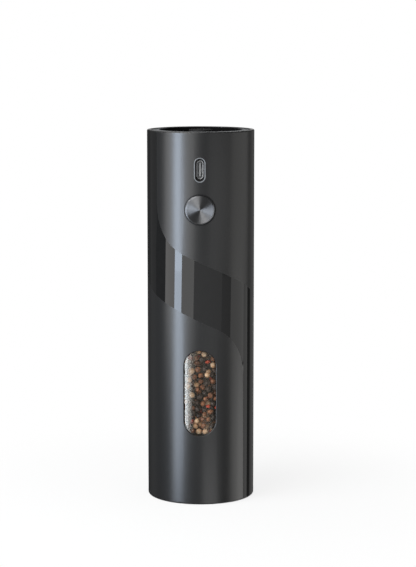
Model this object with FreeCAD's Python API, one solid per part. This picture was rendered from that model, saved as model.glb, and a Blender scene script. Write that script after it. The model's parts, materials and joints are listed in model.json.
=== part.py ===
import FreeCAD, Part
import math
import os

from FreeCAD import Base, Placement, Rotation, Vector

# Rechargeable pepper mill, in millimetres. The axis is Z and the foot stands on z = 0.
# The button, the charging port and the window face -Y. From the foot upwards it holds the
# burr head, the hopper behind the window, the gearbox and motor, and the recessed top cap.

# Outer form
height = 185.0
outer_diameter = 53.5
sleeve_wall = 2.0
rim_round = 0.5
foot_round = 0.8
edge_round = 0.35      # rounded edge of the window's cut-out

# Fits, each on the radius or on one side
slip = 0.1             # fixed piece in its seat
running = 0.05         # shaft in its bearing
loose = 0.35           # piece pulled out by hand
end_float = 0.3        # axial play of turning pieces
overcut = 1.0          # how far a cut runs past the surface it opens

# Gloss ribbon, laid flush in the sleeve: it comes down from the rim, crosses the front and runs to the foot
ribbon_depth = 0.8
ribbon_middle = 106.6       # level where its centre line crosses the front
ribbon_rise = 29.1          # vertical distance between its edges on the front
ribbon_slope = 24.8         # degrees
ribbon_near_angle = 53.0    # upright edge that is nearer to the front, in degrees from it
ribbon_far_angle = 107.0    # upright edge that is further from the front
ribbon_near_bend = 28.0     # radius of the bend at the nearer edge, on the unrolled surface
ribbon_far_bend = 43.0

# Burr head, which is pulled out downwards
mouth_recess = 2.0          # lower rim above the table
mouth_depth = 4.6
mouth_wall = 4.1
mouth_flare = 1.7
mouth_round = 0.5
grip_flutes = 20
grip_flute_radius = 1.0
head_shoulder = 1.5
socket_wall = 4.3           # ring in the sleeve that the neck goes into
neck_length = 9.0
neck_wall = 1.6
funnel_step = 1.0
seal_section = 1.8
socket_height = 9.5
bridge_thickness = 3.4
bridge_ring_width = 4.9
bridge_arms = 3
bridge_arm_width = 4.0
bridge_arm_drop = 0.7
bridge_boss_radius = 5.2
bridge_screw_inset = 2.1    # screw circle inside the mouth's wall
bridge_screw_radius = 1.0
bridge_screw_head = 1.9
bridge_screw_length = 8.0

# Ceramic burrs
burr_shelf = 3.8            # mouth's wall to the outer burr's seat
outer_burr_height = 12.5
outer_burr_wall = 1.8       # behind its fine teeth
outer_burr_lip = 0.65       # behind its flutes, at the top
inner_burr_lift = 0.4       # underside above the bridge ring
inner_burr_crown = 0.7      # wall round the hub, at the top
burr_clearance = 0.7        # between the tooth tips at the foot of the burrs
grind_height = 4.1          # zone of fine teeth
grind_taper = 1.2           # radius lost over that zone
grind_teeth = 24
grind_tooth_depth = 0.8
saw_share = 0.25            # share of a tooth's pitch that its steep side takes
break_height = 10.0         # zone of coarse flutes
break_flutes = 6
break_flute_depth = 1.5
tooth_lean = 4.0            # degrees of twist per layer of fine teeth
flute_lean = 14.0           # degrees of twist per layer of flutes
flute_layers = 3

# Burr hub, spring and adjuster
shaft_flats = 6.0
hub_flats = 9.0
hub_flange_radius = 8.0
hub_flange_height = 1.5
hub_nose = 3.5
hub_socket_depth = 14.5
hub_clip_width = 1.9
hub_clip_height = 1.2
washer_radius = 3.6
washer_thickness = 1.0
gap_travel = 0.5            # the adjuster lifts or lowers the inner burr by this
adjuster_screw_radius = 2.9
knob_radius = 7.0
knob_height = 3.5
knob_lobes = 9
knob_lobe_depth = 0.7
knob_round = 0.6
spring_length = 12.0
spring_wire = 0.8
spring_turns = 5
collar_radius = 5.0
collar_height = 3.0
shaft_tip_gap = 2.0

# Window and hopper
window_sill = 1.3           # hopper's lower end to the lower edge of the window
window_width = 15.7
window_height = 42.7
window_lip = 1.2
window_crown = 17.5         # radius of the pane's bulged face
window_sink = 0.1           # crest of the pane below the sleeve's surface
pane_thickness = 1.0
hopper_wall = 1.5
hopper_gap = 0.45           # hopper to the back of the pane

# Drive bay
cap_floor_drop = 6.0        # rim to the floor of the dish
cap_floor = 2.0
bar_drop = 3.5              # chassis bar under the cap floor
bar_thickness = 2.5
bar_width = 16.0
bar_headroom = 5.0          # battery leads to the bar above them
bulkhead_thickness = 4.0
pillar_depth = 3.8
pillar_setback = 3.0        # front edge behind the board
pillar_rear_gap = 1.4       # rear edge to the battery
battery_rest_width = 11.0
boss_radius = 3.6
hub_radius = 5.0
bush_wall = 2.0
seal_width = 3.6
seal_thickness = 1.6
seal_lip = 0.8
seal_lip_width = 0.9

# Two planetary stages
gear_module = 0.5
sun_teeth = 12
planet_teeth = 15
planet_count = 3
tooth_play = 0.12           # each tooth is this much thinner than half its pitch
pressure_angle = 20.0       # degrees
root_depth = 1.25           # pitch line to the tooth's root, in modules
ring_tip_depth = 0.9        # pitch line to the tips of the ring's teeth, in modules
gear_width = 4.5
carrier_thickness = 2.0
carrier_margin = 0.9
planet_pin_radius = 1.5
case_floor = 2.0
case_wall = 1.9
case_headroom = 0.8
ear_radius = 2.6
ear_reach = 2.4
case_screw_radius = 1.1
case_screw_head = 2.1
case_screw_grip = 3.0
screw_head_height = 1.6

# Motor
motor_plate = 2.5
motor_plate_rim = 0.8       # least width of the plate round the motor
motor_board_gap = 2.4
motor_length = 30.8
motor_round = 1.0
motor_end_height = 3.0
motor_end_step = 0.5
motor_end_taper = 1.5
motor_boss_radius = 3.6
motor_boss_height = 1.8
motor_shaft_radius = 1.0
motor_bore_depth = 20.0
motor_screw_inset = 3.6     # screw axis inside the can's side
motor_screw_radius = 1.25
motor_screw_depth = 3.0
motor_screw_head = 2.1
motor_screw_sink = 1.2
terminal_width = 2.0
terminal_thickness = 0.5
terminal_height = 4.0
terminal_inset = 5.2        # terminal inside the can's side

# Button and its switch, counted inwards from the sleeve's surface
button_drop = 37.8          # rim to the button's axis
button_hole = 15.6
button_ring_wall = 0.4
button_ring_sink = 0.15
button_ring_lip = 2.2
button_stop_gap = 0.1       # flange behind the ring
button_sink = 0.25
button_play = 0.15
button_cap_thickness = 1.2
button_cap_edge = 0.35
button_body_length = 3.1
button_flange_width = 1.0
button_flange = 1.0
button_travel = 0.5
switch_size = 6.0
switch_height = 3.5
plunger_radius = 1.75
plunger_height = 1.5
plunger_seat = 0.2          # plunger in the switch with the button fully out

# Circuit board and charging port
board_width = 30.0
board_thickness = 1.6
board_top_drop = 10.0       # rim to the board's upper edge
board_height = 44.0
board_screw_radius = 1.0
board_screw_head = 1.8
board_screw_inset = 3.0
board_screw_length = 6.0
board_screw_head_height = 1.0
bracket_depth = 5.0
chip_size = 5.0
chip_height = 1.0
coil_size = 4.0
coil_height = 2.0
part_pitch = 7.0            # spacing of the parts across the board
capacitor_width = 1.6
capacitor_length = 3.0
capacitor_height = 0.8
port_drop = 18.4            # rim to the port's centre
port_width = 4.4
port_tall = 10.9
port_bevel = 0.75
port_shell_width = 3.26
port_shell_tall = 8.94
port_shell_wall = 0.3
port_shell_length = 7.0
port_block_length = 2.3
port_tongue_thickness = 0.7
port_tongue_tall = 6.7
port_tongue_length = 4.2
bezel_margin = 2.4
bezel_thickness = 1.9
bezel_clearance = 0.15

# Battery and leads
battery_margin = 1.65       # its corners to the chassis's outer radius
battery_thickness = 6.0
battery_height = 40.0
battery_round = 1.5
battery_gap = 0.8           # to the motor
lead_radius = 0.7
lead_bend = 3.0
battery_lead_spread = 3.0
plug_width = 20.0
plug_margin = 2.5           # socket's ends beyond the lowest and highest leads
plug_depth = 3.0

# Top cap
cap_lip_drop = 0.35         # rim to the lip's outer edge, from which it rises inwards to the rim's level
cap_lip_width = 4.2
cap_lip_round = 0.4
cap_dish_draft = 0.4
cap_floor_round = 1.0
cap_skirt_drop = 9.0
cap_skirt_wall = 1.75
cap_post_wall = 1.3
plug_radius = 5.95
plug_cavity = 3.1
plug_round = 0.6
cap_screw_radius = 1.45
cap_screw_head = 2.9
cap_screw_head_height = 2.0
cap_screw_length = 7.0

# Radii and levels that follow from the sizes above
outer_radius = outer_diameter / 2
bore_radius = outer_radius - sleeve_wall
seat_radius = bore_radius - slip
cap_dish_radius = seat_radius - cap_lip_width

socket_bore = seat_radius - socket_wall
neck_radius = socket_bore - loose
head_radius = bore_radius - loose
mouth_radius = head_radius - mouth_wall
outer_burr_radius = mouth_radius - burr_shelf
inner_burr_radius = outer_burr_radius - outer_burr_wall - grind_tooth_depth - burr_clearance

bridge_low = mouth_recess + mouth_depth
burr_low = bridge_low + bridge_thickness
burr_high = burr_low + outer_burr_height
head_seat = burr_high + head_shoulder
neck_top = head_seat + neck_length
hopper_low = head_seat + socket_height
window_low = hopper_low + window_sill
window_level = window_low + window_height / 2
arm_high = burr_low - bridge_arm_drop
rotor_low = burr_low + inner_burr_lift
grind_high = rotor_low + grind_height
rotor_high = grind_high + break_height
washer_low = rotor_low - inner_burr_lift / 2
washer_high = washer_low + washer_thickness
hub_high = rotor_high + hub_nose
socket_floor = hub_high - hub_socket_depth
shaft_low = socket_floor + shaft_tip_gap
collar_low = hub_high + spring_length
knob_high = bridge_low - gap_travel - end_float

cap_floor_high = height - cap_floor_drop
cap_floor_low = cap_floor_high - cap_floor
bar_high = cap_floor_low - bar_drop
bar_low = bar_high - bar_thickness
stage_height = carrier_thickness + gear_width + 2 * end_float
case_height = case_floor + 2 * stage_height + case_headroom
lead_rise = lead_bend + battery_lead_spread / 2
battery_stack = end_float + battery_height + lead_rise + lead_radius
bulkhead_high = bar_low - bar_headroom - battery_stack - motor_plate - case_height
bulkhead_low = bulkhead_high - bulkhead_thickness
button_level = height - button_drop
port_level = height - port_drop
board_high = height - board_top_drop
board_low = board_high - board_height

pane_back = seat_radius - pane_thickness
hopper_radius = pane_back - hopper_gap
hopper_bore = hopper_radius - hopper_wall

button_back = outer_radius - button_sink - button_cap_thickness - button_body_length
button_radius = button_hole / 2 - slip - button_ring_wall - button_play
plunger_tip = button_back - button_flange
switch_front = plunger_tip - plunger_height
plunger_back = switch_front - plunger_seat
board_front = switch_front - switch_height
board_back = board_front - board_thickness
plug_back = board_back - plug_depth

ring_teeth = sun_teeth + 2 * planet_teeth
ring_root = gear_module * (ring_teeth / 2 + root_depth)
planet_circle = gear_module * (sun_teeth + planet_teeth) / 2
motor_radius = board_back - motor_board_gap
motor_screw_circle = motor_radius - motor_screw_inset
terminal_spread = motor_radius - terminal_inset
case_radius = max(ring_root + case_wall, motor_radius + motor_plate_rim)
ear_circle = case_radius + ear_reach
carrier_radius = planet_circle + planet_pin_radius + carrier_margin
second_carrier_low = bulkhead_high + case_floor + end_float
second_gears_low = second_carrier_low + carrier_thickness + end_float
first_carrier_low = second_carrier_low + stage_height
first_gears_low = first_carrier_low + carrier_thickness + end_float
case_high = bulkhead_high + case_height
motor_low = case_high + motor_plate
motor_high = motor_low + motor_length
motor_end_high = motor_high + motor_end_height
ear_angles = [30.0, 150.0, 270.0]

battery_low = motor_low + end_float
battery_high = battery_low + battery_height
battery_near = motor_radius + battery_gap
battery_far = battery_near + battery_thickness
battery_middle = (battery_near + battery_far) / 2
battery_corner = seat_radius - battery_margin - battery_round
battery_half = battery_round + math.sqrt(battery_corner ** 2 - (battery_far - battery_round) ** 2)
battery_lead_level = battery_high + lead_rise
motor_lead_level = motor_end_high + terminal_height + lead_bend


def disc(radius, low, high):
    """Cylinder on the mill's axis between two levels."""
    return Part.makeCylinder(radius, high - low, Vector(0, 0, low))


def tube(outer, inner, low, high):
    """Hollow cylinder on the mill's axis."""
    return disc(outer, low, high).cut(disc(inner, low, high))


def post(x, y, radius, low, high):
    """Upright cylinder away from the axis."""
    return Part.makeCylinder(radius, high - low, Vector(x, y, low))


def peg(radius, level, front, back):
    """Cylinder along Y at a level, between two distances in front of the axis."""
    return Part.makeCylinder(radius, front - back, Vector(0, -front, level), Vector(0, 1, 0))


def block(x_low, x_high, front, back, low, high):
    """Box between two distances in front of the axis."""
    return Part.makeBox(x_high - x_low, front - back, high - low, Vector(x_low, -front, low))


def hexagon_reach(flats):
    """Distance from a hexagon's middle to its corners, from its size across flats."""
    return flats / 2 / math.cos(math.pi / 6)


def hexagon(flats, low, high):
    """Hexagonal bar on the axis, sized across its flats."""
    reach = hexagon_reach(flats)
    corners = []
    for index in range(7):
        angle = index * math.pi / 3
        corners.append(Vector(reach * math.cos(angle), reach * math.sin(angle), low))
    return Part.Face(Part.makePolygon(corners)).extrude(Vector(0, 0, high - low))


def slot_wire(width, tall, level, distance):
    """Upright slot outline with round ends, in a plane in front of the axis."""
    radius = width / 2
    straight = tall / 2 - radius
    y = -distance
    right_low = Vector(radius, y, level - straight)
    right_high = Vector(radius, y, level + straight)
    left_high = Vector(-radius, y, level + straight)
    left_low = Vector(-radius, y, level - straight)
    top = Vector(0, y, level + tall / 2)
    bottom = Vector(0, y, level - tall / 2)
    return Part.Wire([
        Part.LineSegment(right_low, right_high).toShape(),
        Part.Arc(right_high, top, left_high).toShape(),
        Part.LineSegment(left_high, left_low).toShape(),
        Part.Arc(left_low, bottom, right_low).toShape(),
    ])


def slot(width, tall, level, front, back):
    """Upright slot-shaped bar along Y."""
    return Part.Face(slot_wire(width, tall, level, front)).extrude(Vector(0, front - back, 0))


def turned(points):
    """Solid of revolution from (radius, level) corners; a third value rounds that corner."""
    edges = []
    starts = []
    ends = []
    count = len(points)
    for index in range(count):
        here = Vector(points[index][0], 0, points[index][1])
        before = Vector(points[index - 1][0], 0, points[index - 1][1])
        after_point = points[(index + 1) % count]
        after = Vector(after_point[0], 0, after_point[1])
        rounding = points[index][2] if len(points[index]) > 2 else 0.0
        if rounding == 0.0:
            starts.append(here)
            ends.append(here)
            continue
        back = (before - here).normalize()
        ahead = (after - here).normalize()
        half = back.getAngle(ahead) / 2
        reach = rounding / math.tan(half)
        inwards = (back + ahead).normalize()
        crest = here + inwards * (rounding / math.sin(half) - rounding)
        starts.append(here + back * reach)
        ends.append(here + ahead * reach)
        edges.append(Part.Arc(starts[-1], crest, ends[-1]).toShape())
    for index in range(count):
        edges.append(Part.LineSegment(ends[index - 1], starts[index]).toShape())
    face = Part.Face(Part.Wire(Part.__sortEdges__(edges)))
    return face.revolve(Vector(0, 0, 0), Vector(0, 0, 1), 360)


def ring_of(shape, count, turn=0.0):
    """Copies of a shape, evenly spaced round the axis."""
    copies = []
    for index in range(count):
        copy = shape.copy()
        copy.rotate(Vector(0, 0, 0), Vector(0, 0, 1), turn + index * 360.0 / count)
        copies.append(copy)
    return copies


def on_ears(shape):
    """Copies of a shape that lies in the +X direction, one at each gearbox ear."""
    copies = []
    for angle in ear_angles:
        copy = shape.copy()
        copy.rotate(Vector(0, 0, 0), Vector(0, 0, 1), angle)
        copies.append(copy)
    return copies


def ribbon_curves():
    """The ribbon's outline as (angle, level) curves on an unrolled cylinder; half a turn is the front."""
    slope = math.radians(ribbon_slope)
    near = outer_radius * math.radians(ribbon_near_angle)
    far = outer_radius * math.radians(ribbon_far_angle)
    top = height - rim_round
    foot = foot_round

    def unrolled(across, level):
        return Base.Vector2d(math.pi + across / outer_radius, level)

    def line(start, end):
        return Part.Geom2d.Line2dSegment(unrolled(*start), unrolled(*end))

    def bend(centre, radius, first, last):
        crest = unrolled(centre[0], centre[1] + radius)
        side = unrolled(centre[0] + radius, centre[1])
        oval = Part.Geom2d.Ellipse2d(crest, side, unrolled(*centre))
        return Part.Geom2d.ArcOfEllipse2d(oval, first, last)

    def upper_edge_level(across):
        return ribbon_middle + ribbon_rise / 2 - math.tan(slope) * across

    def opposite(point):
        return (-point[0], 2 * ribbon_middle - point[1])

    near_tangent = -near + ribbon_near_bend * (1 - math.sin(slope))
    far_tangent = far - ribbon_far_bend * (1 - math.sin(slope))
    near_start = (near_tangent, upper_edge_level(near_tangent))
    far_start = (far_tangent, upper_edge_level(far_tangent))
    near_centre = (-near + ribbon_near_bend, near_start[1] + ribbon_near_bend * math.cos(slope))
    far_centre = (far - ribbon_far_bend, far_start[1] - ribbon_far_bend * math.cos(slope))
    near_end = (-near, near_centre[1])
    far_end = (far, far_centre[1])

    return [
        line((-far, top), opposite(far_end)),
        bend(opposite(far_centre), ribbon_far_bend, math.pi + slope, 1.5 * math.pi),
        line(opposite(far_start), opposite(near_start)),
        bend(opposite(near_centre), ribbon_near_bend, slope, 0.5 * math.pi),
        line(opposite(near_end), (near, foot)),
        line((near, foot), (far, foot)),
        line((far, foot), far_end),
        bend(far_centre, ribbon_far_bend, slope, 0.5 * math.pi),
        line(far_start, near_start),
        bend(near_centre, ribbon_near_bend, math.pi + slope, 1.5 * math.pi),
        line(near_end, (-near, top)),
        line((-near, top), (-far, top)),
    ]


def ribbon_solid(inner, outer):
    """The ribbon's outline between two radii, with walls that point at the axis."""
    faces = []
    rims = []
    for radius in (inner, outer):
        surface = Part.Cylinder()
        surface.Radius = radius
        surface.rotate(Placement(Vector(0, 0, 0), Rotation(Vector(0, 0, 1), 90)))
        edges = [curve.toShape(surface) for curve in ribbon_curves()]
        rims.append(edges)
        faces.append(Part.Face(surface, Part.Wire(edges)))
    for inner_edge, outer_edge in zip(*rims):
        faces.append(Part.makeRuledSurface(inner_edge, outer_edge))
    shell = Part.Shell(faces)
    shell.sewShape()
    solid = Part.Solid(shell)
    solid.fix(0.001, 0.001, 0.001)
    return solid


def window_edges(body):
    """Edges of the window's cut-out on the sleeve's outer surface."""
    edges = []
    for edge in body.Edges:
        middle = edge.valueAt((edge.FirstParameter + edge.LastParameter) / 2)
        in_window = abs(middle.z - window_level) <= window_height / 2 + slip
        on_surface = abs(math.hypot(middle.x, middle.y) - outer_radius) < slip
        if in_window and on_surface and abs(middle.x) <= window_width / 2 + slip and middle.y < 0:
            edges.append(edge)
    return edges


def make_sleeve():
    """Outer sleeve with its window, button hole, charging slot and the ribbon's pocket."""
    body = turned([
        (bore_radius, 0.0),
        (outer_radius, 0.0, foot_round),
        (outer_radius, height, rim_round),
        (bore_radius, height),
    ])
    through = outer_radius + overcut
    behind = bore_radius / 2
    bevel_front = outer_radius + port_bevel / 2
    bevel_back = outer_radius - port_bevel
    spread = 2 * (bevel_front - bevel_back)
    bevel = Part.makeLoft([
        slot_wire(port_width, port_tall, port_level, bevel_back),
        slot_wire(port_width + spread, port_tall + spread, port_level, bevel_front),
    ], True, True)
    body = body.cut(slot(window_width, window_height, window_level, through, behind))
    body = body.makeFillet(edge_round, window_edges(body))
    body = body.cut(peg(button_hole / 2, button_level, through, behind))
    body = body.cut(slot(port_width, port_tall, port_level, through, behind))
    body = body.cut(bevel)
    return body.cut(ribbon_solid(outer_radius - ribbon_depth, outer_radius + ribbon_depth))


def make_ribbon():
    """Gloss ribbon that fills its pocket flush with the sleeve."""
    return ribbon_solid(outer_radius - ribbon_depth, outer_radius)


def make_top_cap():
    """Top cap: a dish with a lip that rises inwards, a skirt in the sleeve and a post for the plug."""
    lip_low = height - cap_lip_drop
    skirt_low = height - cap_skirt_drop
    post_outer = plug_radius - cap_post_wall
    post_inner = cap_screw_head + slip
    post_high = cap_floor_high + plug_cavity - slip
    return turned([
        (cap_screw_radius + slip, cap_floor_low),
        (seat_radius - cap_skirt_wall, cap_floor_low),
        (seat_radius - cap_skirt_wall, skirt_low),
        (seat_radius, skirt_low),
        (seat_radius, lip_low),
        (cap_dish_radius, height, cap_lip_round),
        (cap_dish_radius - cap_dish_draft, cap_floor_high, cap_floor_round),
        (post_outer, cap_floor_high),
        (post_outer, post_high),
        (post_inner, post_high),
        (post_inner, cap_floor_high),
        (cap_screw_radius + slip, cap_floor_high),
    ])


def make_top_plug():
    """Round plug over the cap's screw, level with the rim."""
    post_outer = plug_radius - cap_post_wall + running
    ceiling = cap_floor_high + plug_cavity
    return turned([
        (0.0, ceiling),
        (post_outer, ceiling),
        (post_outer, cap_floor_high),
        (plug_radius, cap_floor_high),
        (plug_radius, height, plug_round),
        (0.0, height),
    ])


def make_cap_screw():
    """Screw that draws the cap down on the chassis boss."""
    shank = disc(cap_screw_radius, cap_floor_high - cap_screw_length, cap_floor_high)
    head = disc(cap_screw_head, cap_floor_high, cap_floor_high + cap_screw_head_height)
    return shank.fuse(head).removeSplitter()


def make_window_pane():
    """Clear pane with a bulged face and a lip behind the sleeve's wall."""
    crest = outer_radius - window_sink
    bulge = post(0, -(crest - window_crown), window_crown, window_low, window_low + window_height)
    behind = bore_radius / 2
    nose = slot(window_width - 2 * slip, window_height - 2 * slip, window_level, crest, behind)
    lip_width = window_width + 2 * window_lip
    lip_tall = window_height + 2 * window_lip
    lip = slot(lip_width, lip_tall, window_level, crest, behind)
    lip_low = window_low - window_lip
    lip_high = window_low + window_height + window_lip
    lip = lip.common(disc(seat_radius, lip_low, lip_high))
    pane = nose.common(bulge).fuse(lip)
    return pane.cut(disc(pane_back, lip_low, lip_high)).removeSplitter()


def make_hopper():
    """Clear tube that holds the peppercorns; the chassis stands on it."""
    return tube(hopper_radius, hopper_bore, hopper_low, bulkhead_low)


def make_socket_ring():
    """Ring in the sleeve that the burr head's neck goes into, with a slope that empties the hopper."""
    slope = hopper_bore - socket_bore
    return turned([
        (socket_bore, head_seat),
        (seat_radius, head_seat),
        (seat_radius, hopper_low),
        (hopper_bore, hopper_low),
        (socket_bore, hopper_low - slope),
    ])


def make_chassis():
    """Moulded frame: bulkhead, two pillars, top bar, battery rest and board brackets."""
    floor = tube(seat_radius, hub_radius + running + bush_wall, bulkhead_low, bulkhead_high)
    floor = floor.cut(disc(hub_radius + seal_width, bulkhead_low, bulkhead_low + seal_thickness))
    ring = tube(seat_radius, seat_radius - pillar_depth, bulkhead_high, bar_high)
    pillar_front = board_back - pillar_setback
    pillar_rear = battery_near - pillar_rear_gap
    sides = block(-seat_radius, seat_radius, pillar_front, -pillar_rear, bulkhead_high, bar_high)
    pillars = ring.common(sides)
    half_rest = battery_rest_width / 2
    rest = block(-half_rest, half_rest, -battery_middle, -seat_radius, bulkhead_high, battery_low)
    rest = rest.common(disc(seat_radius, bulkhead_high, battery_low))
    bar = block(-seat_radius, seat_radius, bar_width / 2, -bar_width / 2, bar_low, bar_high)
    bar = bar.common(disc(seat_radius - pillar_depth / 2, bar_low, bar_high))
    boss = disc(boss_radius, bar_low, cap_floor_low)
    frame = floor.multiFuse([pillars, rest, bar, boss])
    inner_side = board_width / 2 - 2 * board_screw_inset + board_screw_radius
    for low in (board_low, board_high - 2 * board_screw_inset):
        high = low + 2 * board_screw_inset
        arms = block(-seat_radius, seat_radius, board_back, board_back - bracket_depth, low, high)
        between = block(-inner_side, inner_side, board_back, board_back - bracket_depth, low, high)
        frame = frame.fuse(arms.common(disc(seat_radius, low, high)).cut(between))
    frame = frame.cut(disc(cap_screw_radius, cap_floor_high - cap_screw_length, cap_floor_low))
    for hole in board_screw_shanks():
        frame = frame.cut(hole)
    pilot = post(ear_circle, 0, case_screw_radius, bulkhead_high - case_screw_grip, bulkhead_high)
    for hole in on_ears(pilot):
        frame = frame.cut(hole)
    return frame.removeSplitter()


def board_screw_places():
    """Places (x, level) of the four board screws."""
    across = board_width / 2 - board_screw_inset
    levels = (board_low + board_screw_inset, board_high - board_screw_inset)
    return [(side * across, level) for side in (-1, 1) for level in levels]


def board_screw_shanks():
    """Screw shanks, from the front of the board into the brackets."""
    shanks = []
    for across, level in board_screw_places():
        shank = peg(board_screw_radius, level, board_front, board_front - board_screw_length)
        shank.translate(Vector(across, 0, 0))
        shanks.append(shank)
    return shanks


def make_board_screws():
    """Four pan-head screws that hold the board."""
    screws = []
    heads = []
    for across, level in board_screw_places():
        head = peg(board_screw_head, level, board_front + board_screw_head_height, board_front)
        head.translate(Vector(across, 0, 0))
        heads.append(head)
    for shank, head in zip(board_screw_shanks(), heads):
        screws.append(shank.fuse(head).removeSplitter())
    return Part.Compound(screws)


def make_shaft_bush():
    """Plain bearing for the output hub, in the bulkhead."""
    bore = hub_radius + running
    return tube(bore + bush_wall, bore, bulkhead_low + seal_thickness, bulkhead_high)


def make_shaft_seal():
    """Lip seal that keeps pepper dust out of the gearbox."""
    bore = hub_radius + running
    return turned([
        (bore, bulkhead_low - seal_lip),
        (bore + seal_lip_width, bulkhead_low - seal_lip),
        (bore + 2 * seal_lip_width, bulkhead_low),
        (hub_radius + seal_width, bulkhead_low),
        (hub_radius + seal_width, bulkhead_low + seal_thickness),
        (bore, bulkhead_low + seal_thickness),
    ])


def involute(angle):
    """Polar angle of an involute at a pressure angle, in radians."""
    return math.tan(angle) - angle


def tooth_half_angle(teeth, radius, play):
    """Half the angle that a tooth takes up at a radius."""
    pitch = gear_module * teeth / 2
    pressure = math.radians(pressure_angle)
    base = pitch * math.cos(pressure)
    at_pitch = (math.pi * gear_module / 2 - play) / (2 * pitch)
    return at_pitch + involute(pressure) - involute(math.acos(base / max(radius, base)))


def gear_bar(teeth, tip, root, play, low, high):
    """Toothed bar on the axis, with one tooth in the +X direction."""
    pitch = gear_module * teeth / 2
    corners = []
    for index in range(teeth):
        middle = 2 * math.pi * index / teeth
        for side, radii in ((-1, (root, pitch, tip)), (1, (tip, pitch, root))):
            for radius in radii:
                angle = middle + side * tooth_half_angle(teeth, radius, play)
                corners.append(Vector(radius * math.cos(angle), radius * math.sin(angle), low))
    corners.append(corners[0])
    return Part.Face(Part.makePolygon(corners)).extrude(Vector(0, 0, high - low))


def outer_gear(teeth, low, high):
    """Gear with outward teeth."""
    pitch = gear_module * teeth / 2
    return gear_bar(teeth, pitch + gear_module, pitch - root_depth * gear_module, tooth_play, low, high)


def make_gearbox_case():
    """Gearbox case with the ring gear cut inside and three ears."""
    pitch = gear_module * ring_teeth / 2
    case = disc(case_radius, bulkhead_high, case_high)
    case = case.multiFuse(on_ears(post(ear_circle, 0, ear_radius, bulkhead_high, case_high)))
    ring_low = bulkhead_high + case_floor
    ring_tip = pitch - ring_tip_depth * gear_module
    case = case.cut(gear_bar(ring_teeth, ring_root, ring_tip, -tooth_play, ring_low, case_high))
    case = case.cut(disc(hub_radius + end_float, bulkhead_high, ring_low))
    for hole in on_ears(post(ear_circle, 0, case_screw_radius + slip, bulkhead_high, case_high)):
        case = case.cut(hole)
    return case.removeSplitter()


def make_motor_plate():
    """Plate between the gearbox and the motor."""
    plate = disc(case_radius, case_high, motor_low)
    plate = plate.multiFuse(on_ears(post(ear_circle, 0, ear_radius, case_high, motor_low)))
    plate = plate.cut(disc(motor_boss_radius + slip, case_high, motor_low))
    for hole in on_ears(post(ear_circle, 0, case_screw_radius + slip, case_high, motor_low)):
        plate = plate.cut(hole)
    head_high = case_high + motor_screw_sink
    for across in (-motor_screw_circle, motor_screw_circle):
        plate = plate.cut(post(across, 0, motor_screw_radius + slip, case_high, motor_low))
        plate = plate.cut(post(across, 0, motor_screw_head + slip, case_high, head_high))
    return plate.removeSplitter()


def make_gearbox_screws():
    """Three long screws through the plate and the case into the bulkhead."""
    shank = post(ear_circle, 0, case_screw_radius, bulkhead_high - case_screw_grip, motor_low)
    head = post(ear_circle, 0, case_screw_head, motor_low, motor_low + screw_head_height)
    return Part.Compound(on_ears(shank.fuse(head).removeSplitter()))


def make_motor_screws():
    """Two screws that hold the motor on its plate."""
    screws = []
    head_high = case_high + motor_screw_sink
    tip = motor_low + motor_screw_depth
    for across in (-motor_screw_circle, motor_screw_circle):
        head = post(across, 0, motor_screw_head, case_high, head_high)
        shank = post(across, 0, motor_screw_radius, head_high, tip)
        screws.append(head.fuse(shank).removeSplitter())
    return Part.Compound(screws)


def make_motor_can():
    """Motor can with its front boss and the shaft's bore."""
    can = turned([
        (0.0, motor_low),
        (motor_radius, motor_low, motor_round),
        (motor_radius, motor_high),
        (0.0, motor_high),
    ])
    can = can.fuse(disc(motor_boss_radius, motor_low - motor_boss_height, motor_low))
    bore_low = motor_low - motor_boss_height
    can = can.cut(disc(motor_shaft_radius + running, bore_low, motor_low + motor_bore_depth))
    for side in (-1, 1):
        hole_high = motor_low + motor_screw_depth
        can = can.cut(post(side * motor_screw_circle, 0, motor_screw_radius, motor_low, hole_high))
    return can.removeSplitter()


def make_motor_end_cap():
    """Moulded end of the motor with the rear bearing's boss."""
    side = motor_radius - motor_end_step
    return turned([
        (0.0, motor_high),
        (side, motor_high),
        (side, motor_high + motor_end_height / 2),
        (side - motor_end_taper, motor_end_high),
        (0.0, motor_end_high),
    ])


def make_motor_terminals():
    """Two solder tabs on the motor's end."""
    half_width = terminal_width / 2
    half = terminal_thickness / 2
    top = motor_end_high + terminal_height
    tabs = []
    for side in (-1, 1):
        middle = side * terminal_spread
        tabs.append(block(middle - half_width, middle + half_width, half, -half, motor_end_high, top))
    return Part.Compound(tabs)


def make_motor_shaft():
    """Motor shaft, from inside the can to the lower end of the pinion."""
    return disc(motor_shaft_radius, first_gears_low, motor_low + motor_bore_depth - end_float)


def make_motor_pinion():
    """Sun gear of the first stage, pressed on the motor shaft."""
    pinion = outer_gear(sun_teeth, first_gears_low, first_gears_low + gear_width)
    return pinion.cut(disc(motor_shaft_radius, first_gears_low, first_gears_low + gear_width))


def planet_pins(low, high):
    """Pins that a carrier's planets turn on."""
    return ring_of(post(planet_circle, 0, planet_pin_radius, low, high), planet_count)


def make_first_carrier():
    """First carrier with its pins."""
    plate = disc(carrier_radius, first_carrier_low, first_carrier_low + carrier_thickness)
    pins = planet_pins(first_carrier_low, first_gears_low + gear_width)
    return plate.multiFuse(pins).removeSplitter()


def make_second_sun():
    """Sun gear of the second stage, fixed under the first carrier."""
    return outer_gear(sun_teeth, second_gears_low, first_carrier_low)


def make_second_carrier():
    """Second carrier with its pins and the output hub."""
    hub_low = bulkhead_low - seal_lip
    plate = disc(carrier_radius, second_carrier_low, second_carrier_low + carrier_thickness)
    hub = disc(hub_radius, hub_low, second_carrier_low)
    pins = planet_pins(second_carrier_low, second_gears_low + gear_width)
    carrier = plate.multiFuse([hub] + pins)
    carrier = carrier.cut(hexagon(shaft_flats + 2 * running, hub_low, second_carrier_low))
    return carrier.removeSplitter()


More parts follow.
